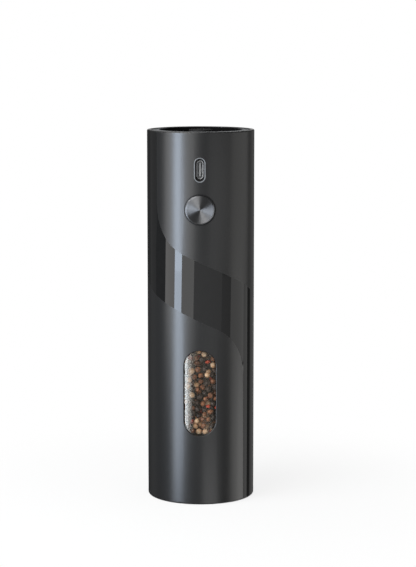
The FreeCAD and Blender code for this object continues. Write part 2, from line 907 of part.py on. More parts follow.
def make_planet(low):
    """Planet gear in the +X direction, with a tooth pointing outwards."""
    planet = outer_gear(planet_teeth, low, low + gear_width)
    planet = planet.cut(disc(planet_pin_radius + running, low, low + gear_width))
    planet.translate(Vector(planet_circle, 0, 0))
    return planet


def make_drive_shaft():
    """Hexagonal shaft from the output hub down through the hopper."""
    return hexagon(shaft_flats, shaft_low, second_carrier_low)


def make_spring_collar():
    """Collar on the shaft that the burr spring pushes against."""
    collar = disc(collar_radius, collar_low, collar_low + collar_height)
    return collar.cut(hexagon(shaft_flats, collar_low, collar_low + collar_height))


def make_burr_spring():
    """Open compression spring that holds the inner burr down on its adjuster."""
    mean_radius = hub_flats / 2 - spring_wire / 2
    low = hub_high + spring_wire / 2
    climb = spring_length - spring_wire

    def on_coil(turns):
        angle = 2 * math.pi * turns
        level = low + climb * turns / spring_turns
        return Vector(mean_radius * math.cos(angle), mean_radius * math.sin(angle), level)

    arcs = []
    for quarter in range(4 * spring_turns):
        start = quarter / 4
        arcs.append(Part.Arc(on_coil(start), on_coil(start + 0.125), on_coil(start + 0.25)).toShape())
    path = Part.Wire(arcs)
    heading = arcs[0].tangentAt(arcs[0].FirstParameter)
    section = Part.Wire(Part.Circle(on_coil(0), heading, spring_wire / 2).toShape())
    coil = path.makePipeShell([section], True, False)
    samples = [on_coil(step / 24) for step in range(24 * spring_turns + 1)]
    least = min(
        first.distanceToPoint(second)
        for index, first in enumerate(samples)
        for second in samples[index + 12:]
    )
    print("burr spring: least gap between turns %.2f mm" % (least - spring_wire))
    return coil


def make_battery():
    """Flat rechargeable cell behind the motor."""
    cell = block(-battery_half, battery_half, -battery_near, -battery_far, battery_low, battery_high)
    upright = [edge for edge in cell.Edges if abs(edge.tangentAt(edge.FirstParameter).z) > 0.9]
    return cell.makeFillet(battery_round, upright)


def lead(across, start_y, start_level, run_level):
    """Insulated lead: straight up, one bend, then forwards into the board's socket."""
    bend = run_level - start_level
    rise_end = Vector(across, start_y, start_level)
    middle = math.pi / 4
    crest_y = start_y - bend * (1 - math.cos(middle))
    crest = Vector(across, crest_y, start_level + bend * math.sin(middle))
    run_start = Vector(across, start_y - bend, run_level)
    run_end = Vector(across, -plug_back, run_level)
    path = Part.Wire([
        Part.Arc(rise_end, crest, run_start).toShape(),
        Part.LineSegment(run_start, run_end).toShape(),
    ])
    section = Part.Wire(Part.Circle(rise_end, Vector(0, 0, 1), lead_radius).toShape())
    return path.makePipeShell([section], True, False)


def make_battery_leads():
    """Two leads from the cell to the board."""
    places = (-battery_lead_spread, battery_lead_spread)
    return Part.Compound([lead(x, battery_middle, battery_high, battery_lead_level) for x in places])


def make_motor_leads():
    """Two leads from the motor's tabs to the board."""
    places = (-terminal_spread, terminal_spread)
    top = motor_end_high + terminal_height
    return Part.Compound([lead(x, 0.0, top, motor_lead_level) for x in places])


def make_board():
    """Circuit board behind the button and the port."""
    half = board_width / 2
    board = block(-half, half, board_front, board_back, board_low, board_high)
    for hole in board_screw_shanks():
        board = board.cut(hole)
    return board


def board_part(across, width, tall, thickness, level):
    """Small part soldered on the front of the board."""
    half = width / 2
    front = board_front + thickness
    return block(across - half, across + half, front, board_front, level - tall / 2, level + tall / 2)


def make_board_parts():
    """Chips on the front of the board, and the lead socket on its back."""
    level = board_low + board_height / 6
    parts = [board_part(0.0, chip_size, chip_size, chip_height, level)]
    parts.append(board_part(part_pitch, coil_size, coil_size, coil_height, level))
    for across in (-part_pitch - capacitor_width, -part_pitch + capacitor_width):
        parts.append(board_part(across, capacitor_width, capacitor_length, capacitor_height, level))
    half = plug_width / 2
    socket_low = min(motor_lead_level, battery_lead_level) - plug_margin
    socket_high = max(motor_lead_level, battery_lead_level) + plug_margin
    parts.append(block(-half, half, board_back, plug_back, socket_low, socket_high))
    return Part.Compound(parts)


def make_port_shell():
    """Metal shell of the charging port."""
    front = board_front + port_shell_length
    outside = slot(port_shell_width, port_shell_tall, port_level, front, board_front)
    inner_width = port_shell_width - 2 * port_shell_wall
    inner_tall = port_shell_tall - 2 * port_shell_wall
    return outside.cut(slot(inner_width, inner_tall, port_level, front, board_front))


def make_port_tongue():
    """Insulator at the back of the port, with the contact tongue."""
    inner_width = port_shell_width - 2 * port_shell_wall
    inner_tall = port_shell_tall - 2 * port_shell_wall
    block_front = board_front + port_block_length
    base = slot(inner_width, inner_tall, port_level, block_front, board_front)
    half = port_tongue_thickness / 2
    low = port_level - port_tongue_tall / 2
    high = port_level + port_tongue_tall / 2
    tongue = block(-half, half, block_front + port_tongue_length, block_front, low, high)
    return base.fuse(tongue).removeSplitter()


def make_port_bezel():
    """Dark plate behind the sleeve's slot that frames the port."""
    wide = port_width + 2 * bezel_margin
    tall = port_tall + 2 * bezel_margin
    back = bore_radius - bezel_thickness
    plate = slot(wide, tall, port_level, outer_radius, back)
    plate = plate.common(disc(seat_radius, port_level - tall, port_level + tall))
    opening_wide = port_shell_width + 2 * bezel_clearance
    opening_tall = port_shell_tall + 2 * bezel_clearance
    return plate.cut(slot(opening_wide, opening_tall, port_level, outer_radius, back))


def make_switch_body():
    """Push switch on the board."""
    half = switch_size / 2
    body = block(-half, half, switch_front, board_front, button_level - half, button_level + half)
    well = plunger_back - button_travel - plunger_seat
    return body.cut(peg(plunger_radius + slip, button_level, switch_front, well))


def make_switch_plunger():
    """Plunger of the push switch, which travels with the button."""
    return peg(plunger_radius, button_level, plunger_tip, plunger_back)


def make_button_ring():
    """Black ring that lines the sleeve's hole and guides the button."""
    tube_radius = button_hole / 2 - slip
    inner_radius = tube_radius - button_ring_wall
    back = button_back + button_stop_gap
    low = button_level - button_hole
    high = button_level + button_hole
    liner = peg(tube_radius, button_level, outer_radius, back)
    liner = liner.common(disc(outer_radius - button_ring_sink, low, high))
    lip = peg(tube_radius + button_ring_lip, button_level, outer_radius, back)
    lip = lip.common(disc(seat_radius, low, high))
    ring = liner.fuse(lip)
    return ring.cut(peg(inner_radius, button_level, outer_radius, back)).removeSplitter()


def make_button_cap():
    """Turned metal face of the button, with a bright edge."""
    front = outer_radius - button_sink
    cap = peg(button_radius, button_level, front, front - button_cap_thickness)
    rim = [edge for edge in cap.Edges if abs(edge.CenterOfMass.y + front) < 0.01]
    return cap.makeChamfer(button_cap_edge, rim)


def make_button_body():
    """Button body with the flange that stops it from falling out."""
    front = outer_radius - button_sink - button_cap_thickness
    body = peg(button_radius, button_level, front, button_back)
    flange = peg(button_radius + button_flange_width, button_level, button_back, plunger_tip)
    return body.fuse(flange).removeSplitter()


def make_burr_housing():
    """Housing of the burr head: mouth, burr seat, funnel and the neck with its seal groove."""
    burr_seat = outer_burr_radius + slip
    funnel_low = burr_seat - funnel_step
    groove_middle = head_seat + neck_length / 2
    groove_low = groove_middle - seal_section / 2 - slip
    groove_high = groove_middle + seal_section / 2 + slip
    groove_floor = neck_radius - seal_section + slip
    housing = turned([
        (mouth_radius + mouth_flare, mouth_recess),
        (head_radius, mouth_recess, mouth_round),
        (head_radius, head_seat),
        (neck_radius, head_seat),
        (neck_radius, groove_low),
        (groove_floor, groove_low),
        (groove_floor, groove_high),
        (neck_radius, groove_high),
        (neck_radius, neck_top),
        (neck_radius - neck_wall, neck_top),
        (funnel_low, burr_high),
        (burr_seat, burr_high),
        (burr_seat, burr_low),
        (mouth_radius, burr_low),
        (mouth_radius, mouth_recess + mouth_flare),
    ])
    flute = post(mouth_radius + grip_flute_radius / 2, 0, grip_flute_radius, mouth_recess, bridge_low)
    for groove in ring_of(flute, grip_flutes):
        housing = housing.cut(groove)
    for hole in bridge_screw_shanks():
        housing = housing.cut(hole)
    return housing


def make_neck_seal():
    """Round seal in the neck's groove."""
    middle_radius = neck_radius - seal_section / 2 + slip
    return Part.makeTorus(middle_radius, seal_section / 2, Vector(0, 0, head_seat + neck_length / 2))


def bridge_screw_shanks():
    """Shanks of the bridge screws, from the ring's underside up into the housing."""
    circle = mouth_radius - bridge_screw_inset
    shank = post(circle, 0, bridge_screw_radius, bridge_low, bridge_low + bridge_screw_length)
    return ring_of(shank, bridge_arms)


def make_bridge():
    """Spider under the burrs that carries the adjuster: a ring, three arms and a boss."""
    ring_radius = mouth_radius - slip
    ring = tube(ring_radius, ring_radius - bridge_ring_width, bridge_low, burr_low)
    half = bridge_arm_width / 2
    arm = block(0, ring_radius - bridge_ring_width / 2, half, -half, bridge_low, arm_high)
    boss = disc(bridge_boss_radius, bridge_low, arm_high)
    bridge = ring.multiFuse(ring_of(arm, bridge_arms) + [boss])
    bridge = bridge.cut(disc(adjuster_screw_radius + running, bridge_low, arm_high))
    for hole in bridge_screw_shanks():
        bridge = bridge.cut(hole)
    return bridge.removeSplitter()


def make_bridge_screws():
    """Three screws that hold the bridge and the outer burr in the housing."""
    screws = []
    for shank in bridge_screw_shanks():
        middle = shank.CenterOfMass
        head = post(middle.x, middle.y, bridge_screw_head, bridge_low - bridge_screw_radius, bridge_low)
        screws.append(shank.fuse(head).removeSplitter())
    return Part.Compound(screws)


def toothed_wire(teeth, tip, root, level, turn):
    """Saw-toothed outline on the axis: each tooth rises slowly and falls steeply."""
    corners = []
    for index in range(teeth):
        rise = turn + 360.0 * index / teeth
        fall = rise + 360.0 / teeth * saw_share
        for radius, degrees in ((tip, rise), (root, fall)):
            angle = math.radians(degrees)
            corners.append(Vector(radius * math.cos(angle), radius * math.sin(angle), level))
    corners.append(corners[0])
    return Part.makePolygon(corners)


def toothed_cone(teeth, layers):
    """Twisted toothed cone through layers of (tip radius, root radius, level, turn)."""
    wires = [toothed_wire(teeth, *layer) for layer in layers]
    return Part.makeLoft(wires, True, True)


def flute_steps():
    """Shares of the flute zone's height at which its sections are drawn."""
    return [index / flute_layers for index in range(flute_layers + 1)]


def make_inner_burr():
    """Ceramic cone that turns: coarse flutes that break the corns, above fine teeth that grind them."""
    waist = inner_burr_radius - grind_taper
    fine = toothed_cone(grind_teeth, [
        (inner_burr_radius, inner_burr_radius - grind_tooth_depth, rotor_low, 0.0),
        (waist, waist - grind_tooth_depth, grind_high, tooth_lean),
    ])
    hub_corner = hexagon_reach(hub_flats + 2 * slip)
    flute_foot = waist - grind_tooth_depth
    flute_top = hub_corner + inner_burr_crown + break_flute_depth
    layers = []
    for share in flute_steps():
        tip = flute_foot + (flute_top - flute_foot) * share
        level = grind_high + break_height * share
        layers.append((tip, tip - break_flute_depth, level, flute_lean * flute_layers * share))
    coarse = toothed_cone(break_flutes, layers)
    burr = fine.fuse(coarse)
    burr = burr.cut(hexagon(hub_flats + 2 * slip, rotor_low, rotor_high))
    return burr.cut(disc(hub_flange_radius + slip, rotor_low, rotor_low + hub_flange_height))


def make_outer_burr():
    """Ceramic ring that stays still: its bore opens to the hopper above and narrows to fine teeth below."""
    foot_tip = inner_burr_radius + burr_clearance
    waist_tip = foot_tip - grind_taper + burr_clearance / 3
    ring = disc(outer_burr_radius, burr_low, burr_high)
    grind = toothed_cone(grind_teeth, [
        (foot_tip + grind_tooth_depth, foot_tip, burr_low, 0.0),
        (waist_tip + grind_tooth_depth, waist_tip, grind_high, -tooth_lean),
    ])
    flute_foot = waist_tip + grind_tooth_depth
    flute_top = outer_burr_radius - outer_burr_lip
    layers = []
    for share in flute_steps():
        root = flute_foot + (flute_top - flute_foot) * share
        level = grind_high + (burr_high - grind_high) * share
        layers.append((root, root - grind_tooth_depth, level, -flute_lean * share))
    return ring.cut(grind).cut(toothed_cone(2 * break_flutes, layers))


def make_burr_hub():
    """Hub that carries the inner burr and takes the end of the drive shaft."""
    hub = hexagon(hub_flats, rotor_low, rotor_high)
    hub = hub.fuse(disc(hub_flats / 2, rotor_high, hub_high))
    hub = hub.fuse(disc(hub_flange_radius, rotor_low, rotor_low + hub_flange_height))
    hub = hub.cut(hexagon(shaft_flats + 2 * slip, socket_floor, hub_high))
    return hub.cut(disc(washer_radius + slip, rotor_low, washer_high)).removeSplitter()


def make_hub_clip():
    """Push-on ring that keeps the inner burr on its hub."""
    inner = hub_flats / 2
    return tube(inner + hub_clip_width, inner, rotor_high, rotor_high + hub_clip_height)


def make_thrust_washer():
    """Washer between the turning hub and the adjuster's screw."""
    return disc(washer_radius, washer_low, washer_high)


def make_adjuster_screw():
    """Screw that lifts the inner burr as the knob is turned."""
    return disc(adjuster_screw_radius, knob_high - knob_height / 2, washer_low)


def make_adjuster_knob():
    """Lobed knob under the burrs that sets how fine the mill grinds."""
    knob = turned([
        (0.0, knob_high - knob_height),
        (knob_radius, knob_high - knob_height, knob_round),
        (knob_radius, knob_high),
        (0.0, knob_high),
    ])
    hollow_radius = knob_radius * math.pi / knob_lobes / 2
    reach = knob_radius - knob_lobe_depth + hollow_radius
    hollow = post(reach, 0, hollow_radius, knob_high - knob_height, knob_high)
    for groove in ring_of(hollow, knob_lobes):
        knob = knob.cut(groove)
    return knob.cut(disc(adjuster_screw_radius, knob_high - knob_height / 2, knob_high))


pieces = {
    "sleeve": make_sleeve(),
    "gloss_ribbon": make_ribbon(),
    "top_cap": make_top_cap(),
    "top_plug": make_top_plug(),
    "cap_screw": make_cap_screw(),
    "window_pane": make_window_pane(),
    "hopper": make_hopper(),
    "socket_ring": make_socket_ring(),
    "chassis": make_chassis(),
    "shaft_bush": make_shaft_bush(),
    "shaft_seal": make_shaft_seal(),
    "gearbox_case": make_gearbox_case(),
    "motor_plate": make_motor_plate(),
    "gearbox_screws": make_gearbox_screws(),
    "motor_screws": make_motor_screws(),
    "motor_can": make_motor_can(),
    "motor_end_cap": make_motor_end_cap(),
    "motor_terminals": make_motor_terminals(),
    "motor_shaft": make_motor_shaft(),
    "motor_pinion": make_motor_pinion(),
    "first_carrier": make_first_carrier(),
    "second_sun": make_second_sun(),
    "second_carrier": make_second_carrier(),
    "drive_shaft": make_drive_shaft(),
    "spring_collar": make_spring_collar(),
    "burr_spring": make_burr_spring(),
    "battery": make_battery(),
    "battery_leads": make_battery_leads(),
    "motor_leads": make_motor_leads(),
    "circuit_board": make_board(),
    "board_parts": make_board_parts(),
    "board_screws": make_board_screws(),
    "port_shell": make_port_shell(),
    "port_tongue": make_port_tongue(),
    "port_bezel": make_port_bezel(),
    "switch_body": make_switch_body(),
    "switch_plunger": make_switch_plunger(),
    "button_ring": make_button_ring(),
    "button_cap": make_button_cap(),
    "button_body": make_button_body(),
    "burr_housing": make_burr_housing(),
    "neck_seal": make_neck_seal(),
    "outer_burr": make_outer_burr(),
    "bridge": make_bridge(),
    "bridge_screws": make_bridge_screws(),
    "inner_burr": make_inner_burr(),
    "burr_hub": make_burr_hub(),
    "hub_clip": make_hub_clip(),
    "thrust_washer": make_thrust_washer(),
    "adjuster_screw": make_adjuster_screw(),
    "adjuster_knob": make_adjuster_knob(),
}

for stage, low in (("first", first_gears_low), ("second", second_gears_low)):
    for letter, planet in zip("abc", ring_of(make_planet(low), planet_count)):
        pieces["%s_planet_%s" % (stage, letter)] = planet

os.makedirs("parts", exist_ok=True)
for name, shape in pieces.items():
    shape.exportStep("parts/%s.step" % name)
print("wrote %d pieces" % len(pieces))
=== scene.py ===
# %% [markdown]
# An electric pepper mill: a graphite tube with one gloss black ribbon winding round it, a window
# full of peppercorns, a turned metal button and a charging port. The solids come from the frame and
# stay where they are. This lesson adds the light, the finishes and the few pieces that solids alone
# can't give: the turned face of the button, the bead round the charging slot, a copy of the spring,
# limp leads and the peppercorns.

# %% Load the frame
import json
import math

import bmesh
import bpy
import numpy as np
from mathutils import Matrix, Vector, noise


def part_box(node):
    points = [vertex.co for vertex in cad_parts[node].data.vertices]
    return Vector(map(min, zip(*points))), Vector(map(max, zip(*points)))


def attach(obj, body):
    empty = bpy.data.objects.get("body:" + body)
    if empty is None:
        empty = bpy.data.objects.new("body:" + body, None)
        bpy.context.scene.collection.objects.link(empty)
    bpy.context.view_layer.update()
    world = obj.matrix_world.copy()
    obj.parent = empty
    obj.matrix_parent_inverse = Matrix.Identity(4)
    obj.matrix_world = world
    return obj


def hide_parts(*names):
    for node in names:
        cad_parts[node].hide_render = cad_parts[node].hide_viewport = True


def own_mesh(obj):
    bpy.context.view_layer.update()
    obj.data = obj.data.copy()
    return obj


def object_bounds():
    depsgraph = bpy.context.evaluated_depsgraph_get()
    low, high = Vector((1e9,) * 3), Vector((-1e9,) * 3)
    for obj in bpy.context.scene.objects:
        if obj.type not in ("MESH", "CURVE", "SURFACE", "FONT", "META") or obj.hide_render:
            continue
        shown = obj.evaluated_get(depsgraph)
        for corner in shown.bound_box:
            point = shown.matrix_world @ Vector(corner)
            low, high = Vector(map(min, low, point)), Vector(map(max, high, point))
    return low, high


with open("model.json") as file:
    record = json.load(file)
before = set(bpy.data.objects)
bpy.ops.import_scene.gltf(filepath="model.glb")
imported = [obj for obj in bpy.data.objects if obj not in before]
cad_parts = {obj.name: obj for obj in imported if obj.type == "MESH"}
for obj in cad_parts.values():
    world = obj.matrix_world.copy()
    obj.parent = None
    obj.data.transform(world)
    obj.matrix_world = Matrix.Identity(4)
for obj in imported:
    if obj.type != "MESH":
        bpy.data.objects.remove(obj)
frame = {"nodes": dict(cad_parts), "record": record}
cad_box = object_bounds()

mm = 0.001
scene = bpy.context.scene
nodes = frame["nodes"]

# %% [markdown]
# A product photograph of a slim upright thing is taken from well back with a long lens, so that its
# sides stay nearly parallel. The camera stands almost a metre away, a little above the mill's middle,
# and tips down by eight degrees. That is what turns the foot into a shallow curve.

# %% Camera
camera_place = (15.0 * mm, -942.95 * mm, 239.0 * mm)
camera_tip = 7.944
camera_turn = 0.69
camera_lens = 120.05
film_width = 36.0
nearest_seen = 0.05

camera = bpy.data.objects.new("camera", bpy.data.cameras.new("camera"))
camera.data.sensor_width = film_width
camera.data.lens = camera_lens
camera.data.clip_start = nearest_seen
camera.location = camera_place
camera.rotation_euler = (math.radians(90 - camera_tip), 0, math.radians(camera_turn))
scene.collection.objects.link(camera)
scene.camera = camera
scene.view_settings.view_transform = "Standard"
print("camera:", [round(x / mm, 1) for x in camera.location], "mm")

# %% [markdown]
# Colours are written as the sRGB hex values that a paint chart would give. Blender's shaders work in
# linear light, so one function turns every hex value to linear. A second function adds a node, sets
# it up and links it, and every finish below is made with it. Blender's textures count in repeats per
# metre, so a third one turns a real size in millimetres to that.

# %% Helpers for colours and nodes
def linear(code):
    """An sRGB hex colour as linear red, green, blue and full alpha."""
    parts = [int(code[i:i + 2], 16) / 255 for i in (1, 3, 5)]
    return [p / 12.92 if p <= 0.04045 else ((p + 0.055) / 1.055) ** 2.4 for p in parts] + [1.0]


def add(tree, kind, inputs=None, **settings):
    """A new node of a kind, with its settings made and its sockets filled or linked."""
    made = tree.nodes.new(kind)
    for name, value in settings.items():
        setattr(made, name, value)
    for socket, value in (inputs or {}).items():
        if isinstance(value, bpy.types.NodeSocket):
            tree.links.new(value, made.inputs[socket])
        else:
            made.inputs[socket].default_value = value
    return made


def repeats(size_mm):
    """The texture scale that repeats once in a real size."""
    return 1 / (size_mm * mm)


# A colour mix node's sockets share their names with its other modes, so they are called by number.
FACTOR = 0
FIRST = 6
SECOND = 7
MIXED = 2
print("helpers: white is", linear("#ffffff"))

# %% [markdown]
# The mill stands in a small studio. A white sweep hangs behind the table, and the rest of the room is
# dim, so a dark glossy body shows mostly dim room with a few bright panels in it. A picture of a room
# could be wrapped round the scene, but a few nodes that ask where a ray is heading are easier to adjust.

# %% The room that mirrors see
sweep_side = 0.96
table_blur = 0.03
front_starts = -0.30
front_full = -0.90

world = bpy.data.worlds.new("studio_room")
scene.world = world
world.use_nodes = True
world.node_tree.nodes.clear()
world.cycles.sampling_method = "NONE"
room = world.node_tree

heading = add(room, "ShaderNodeSeparateXYZ", {
    "Vector": add(room, "ShaderNodeTexCoord").outputs["Generated"],
})
behind = add(room, "ShaderNodeMapRange", {
    "Value": heading.outputs["Y"],
    "From Min": sweep_side,
    "From Max": 1.0,
}, interpolation_type="SMOOTHSTEP")
above_table = add(room, "ShaderNodeMapRange", {
    "Value": heading.outputs["Z"],
    "From Min": -table_blur,
    "From Max": table_blur,
}, interpolation_type="SMOOTHSTEP")
sweep = add(room, "ShaderNodeMath", {
    0: behind.outputs["Result"],
    1: above_table.outputs["Result"],
}, operation="MULTIPLY")
towards_camera = add(room, "ShaderNodeMapRange", {
    "Value": heading.outputs["Y"],
    "From Min": front_starts,
    "From Max": front_full,
}, interpolation_type="SMOOTHSTEP")
dim_room = add(room, "ShaderNodeMix", {
    FACTOR: towards_camera.outputs["Result"],
    FIRST: linear("#3a3a3a"),
    SECOND: linear("#565656"),
}, data_type="RGBA")
mirrored = add(room, "ShaderNodeMix", {
    FACTOR: sweep.outputs["Value"],
    FIRST: dim_room.outputs[MIXED],
    SECOND: linear("#ffffff"),
}, data_type="RGBA")
print("room:", len(room.nodes), "nodes for the sweep and the dim room")

# %% [markdown]
# Not every ray sees that room. The Light Path node says what a ray is for: the camera gets plain white,
# mirrors and glass get the sweep and the dim room, and all else gets an even soft light.

# %% What each kind of ray sees
path = add(room, "ShaderNodeLightPath")
mirror_ray = add(room, "ShaderNodeMath", {
    0: path.outputs["Is Glossy Ray"],
    1: path.outputs["Is Transmission Ray"],
}, operation="MAXIMUM")
lit_or_mirrored = add(room, "ShaderNodeMix", {
    FACTOR: mirror_ray.outputs["Value"],
    FIRST: linear("#a8a9aa"),
    SECOND: mirrored.outputs[MIXED],
}, data_type="RGBA")
seen = add(room, "ShaderNodeMix", {
    FACTOR: path.outputs["Is Camera Ray"],
    FIRST: lit_or_mirrored.outputs[MIXED],
    SECOND: linear("#ffffff"),
}, data_type="RGBA")
backdrop = add(room, "ShaderNodeBackground", {"Color": seen.outputs[MIXED], "Strength": 1.0})
add(room, "ShaderNodeOutputWorld", {"Surface": backdrop.outputs["Background"]})
print("room:", len(room.nodes), "nodes in all")

# %% [markdown]
# A studio panel is a lit sheet of cloth. A glowing plane could stand in for it, but an area lamp gives
# less noise: it lights from a rectangle and shows as one in a mirror. Its power is spread over its area,
# so the power follows from the brightness that the panel shows. The camera doesn't see it.

# %% Hang one panel
# Watts for each square metre at brightness 1.
panel_power = math.pi


def hang_panel(name, wide, tall, brightness, tint, place, tip, turn):
    """An area lamp of a given brightness, which looks along +Y before it is tipped down and turned."""
    lamp = bpy.data.lights.new(name, "AREA")
    lamp.shape = "RECTANGLE"
    lamp.size = wide
    lamp.size_y = tall
    lamp.energy = panel_power * brightness * wide * tall
    lamp.color = linear(tint)[:3]
    panel = bpy.data.objects.new(name, lamp)
    panel.location = place
    panel.rotation_euler = (math.radians(90 - tip), 0, turn)
    panel.visible_camera = False
    scene.collection.objects.link(panel)


print("panel power:", round(panel_power, 2), "W for each square metre at brightness 1")

# %% [markdown]
# The upright bands in the gloss ribbon are reflections of tall panels. The key is a narrow, strong and
# slightly cool panel to the left, built in steps that are strongest level with the button, with a weaker
# wing on each side and a weak panel above. Dim cards at the front lift the middle of the tube a little,
# fills on the right draw the grey band there, and an edge card on each side, past the tube's outline,
# keeps its rim from going black. Each is an area lamp a short way from the mill, given by the compass
# angles of its two sides seen from the mill (0 towards the camera, minus to the left), the heights of
# its lower and upper edge in metres, its brightness and its tint. One more hangs overhead.

# %% Light panels
panel_distance = 0.45
panels = [
    ("left_edge", -134.0, -108.0, -0.20, 0.35, 0.08, "#fffdfa"),
    ("key_left_wing", -79.0, -55.5, 0.005, 0.60, 1.9, "#fffdfb"),
    ("key_low_left", -60.0, -55.5, -0.10, 0.005, 6.0, "#eef5ff"),
    ("key_strip_top", -55.5, -39.5, 0.22, 0.36, 3.0, "#dfedff"),
    ("key_strip", -55.5, -39.5, 0.06, 0.22, 11.3, "#dfedff"),
    ("key_middle", -55.5, -39.5, 0.005, 0.06, 9.7, "#dfedff"),
    ("key_low", -55.5, -39.5, -0.10, 0.005, 7.6, "#dfedff"),
    ("key_upper", -75.0, -25.0, 0.36, 0.95, 1.4, "#fbfcff"),
    ("key_right_wing", -39.5, -13.5, 0.005, 0.60, 1.6, "#fffefc"),
    ("key_low_right", -39.5, -28.0, -0.055, -0.005, 3.5, "#eef5ff"),
    ("front_high_card", -13.5, -4.0, 0.15, 0.45, 0.9, "#ffffff"),
    ("front_level_card", 18.0, 62.0, 0.078, 0.165, 0.7, "#ffffff"),
    ("front_card", -13.5, 46.0, -0.002, 0.067, 0.45, "#ffffff"),
    ("front_side_card", 46.0, 67.0, -0.002, 0.058, 0.30, "#ffffff"),
    ("front_low_card", 5.0, 38.0, -0.25, -0.07, 1.4, "#ffffff"),
    ("right_fill_upper", 67.0, 119.0, 0.06, 0.26, 0.70, "#fffefc"),
    ("right_fill_middle", 67.0, 104.0, -0.012, 0.06, 0.86, "#fffefc"),
    ("right_fill_low", 67.0, 86.0, -0.30, -0.012, 1.15, "#fffefc"),
    ("right_fill_side", 86.0, 104.0, -0.30, -0.012, 2.0, "#fffefc"),
    ("right_fill_far", 104.0, 118.0, -0.30, 0.06, 0.52, "#fffefc"),
    ("right_edge", 131.0, 160.0, -0.20, 0.30, 0.17, "#fffefc"),
]
for name, first, last, low, high, brightness, tint in panels:
    wide = 2 * panel_distance * math.tan(math.radians((last - first) / 2))
    turn = math.radians((first + last) / 2)
    place = (panel_distance * math.sin(turn), -panel_distance * math.cos(turn), (low + high) / 2)
    hang_panel(name, wide, high - low, brightness, tint, place, 0.0, turn)
hang_panel("overhead", wide=0.45, tall=0.55, brightness=2.2, tint="#fffefc",
           place=(-0.32, -0.34, 0.62), tip=50.0, turn=math.radians(-43))
print("panels:", len(panels), "upright and one overhead")

# %% [markdown]
# The floor is a pale table top that fades out into the white room, so no edge shows. It is a thin disc
# that takes a soft shadow near the mill. It lies a hair under the foot, so the two faces never meet.

# %% Floor
floor_radius = 0.18
floor_drop = 0.2 * mm

shape = bmesh.new()
bmesh.ops.create_circle(shape, cap_ends=True, segments=128, radius=floor_radius)
floor_mesh = bpy.data.meshes.new("floor")
shape.to_mesh(floor_mesh)
shape.free()
floor = bpy.data.objects.new("floor", floor_mesh)
floor.location.z = cad_box[0][2] - floor_drop
scene.collection.objects.link(floor)
floor.visible_glossy = False
print("floor: radius", floor_radius, "m")

# %% [markdown]
# The table top is frosted glass. Part of it is clear, so the grinding head still shows when it is drawn
# down out of the body. What isn't clear is matt, and its share falls to nothing at the disc's edge.

# %% Frosted glass
floor_share = 0.18
fade_start = 0.03

frosted = bpy.data.materials.new("glass_table_frosted")
frosted.use_nodes = True
frosted.node_tree.nodes.clear()
tree = frosted.node_tree
place = add(tree, "ShaderNodeTexCoord").outputs["Object"]
reach = add(tree, "ShaderNodeVectorMath", {0: place}, operation="LENGTH")
fade = add(tree, "ShaderNodeMapRange", {
    "Value": reach.outputs["Value"],
    "From Min": fade_start,
    "From Max": floor_radius,
    "To Min": floor_share,
    "To Max": 0.0,
}, interpolation_type="SMOOTHSTEP")
front = add(tree, "ShaderNodeMath", {
    0: 1.0,
    1: add(tree, "ShaderNodeNewGeometry").outputs["Backfacing"],
}, operation="SUBTRACT")
solid = add(tree, "ShaderNodeMath", {
    0: fade.outputs["Result"],
    1: front.outputs["Value"],
}, operation="MULTIPLY")
clear = add(tree, "ShaderNodeBsdfTransparent")
matt = add(tree, "ShaderNodeBsdfDiffuse", {"Color": linear("#f4f4f2")})
top = add(tree, "ShaderNodeMixShader", {
    0: solid.outputs["Value"],
    1: clear.outputs["BSDF"],
    2: matt.outputs["BSDF"],
})
# White from above with a soft shadow, and nothing at all from below.
add(tree, "ShaderNodeOutputMaterial", {"Surface": top.outputs["Shader"]})
floor_mesh.materials.append(frosted)
print("floor finish:", frosted.name, len(tree.nodes), "nodes")

# %% [markdown]
# Every finish is kept under the name of the slot that the record gives its nodes. A finish starts
# from an empty tree and ends with one shader, and reads its place from the piece itself, so a pattern
# keeps its size in millimetres wherever the piece goes.

# %% Start of every finish
finishes = {}


def start(slot, name):
    """An empty tree for the finish of a slot, and the surface's own place in metres."""
    made = bpy.data.materials.new(name)
    made.use_nodes = True
    made.node_tree.nodes.clear()
    finishes[slot] = made
    return made.node_tree, add(made.node_tree, "ShaderNodeTexCoord").outputs["Object"]


def close(tree, shader):
    """Sends a shader to the surface and says what the newest finish holds."""
    add(tree, "ShaderNodeOutputMaterial", {"Surface": shader.outputs[0]})
    newest = list(finishes.values())[-1]
    print("finish:", newest.name, len(tree.nodes), "nodes")


print("finishes:", len(finishes), "so far")

# %% [markdown]
# The tube is moulded plastic, sprayed with a graphite lacquer that carries fine metal flakes. The
# flakes make it behave like a dark metal: no white gloss, but a broad soft band wherever a bright
# panel stands. A true flake is about 0.03 mm wide, so it is drawn ten times coarser to show at all.

# %% Graphite lacquer, sprayed satin
tree, place = start("graphite_satin", "graphite_lacquer_sprayed_satin")
flakes = add(tree, "ShaderNodeTexNoise", {"Vector": place, "Scale": repeats(0.35), "Detail": 2.0})
tone = add(tree, "ShaderNodeMix", {
    FACTOR: flakes.outputs["Fac"],
    FIRST: linear("#454545"),
    SECOND: linear("#4b4b4b"),
}, data_type="RGBA")
satin = add(tree, "ShaderNodeMapRange", {"Value": flakes.outputs["Fac"], "To Min": 0.28, "To Max": 0.33})
grain = add(tree, "ShaderNodeBump", {
    "Height": flakes.outputs["Fac"],
    "Strength": 0.03,
    "Distance": 0.02 * mm,
})
# Dark, even and silky: a wide glow from the panels, with no sharp image in it.
close(tree, add(tree, "ShaderNodeBsdfPrincipled", {
    "Base Color": tone.outputs[MIXED],
    "Metallic": 0.80,
    "Roughness": satin.outputs["Result"],
    "Normal": grain.outputs["Normal"],
}))

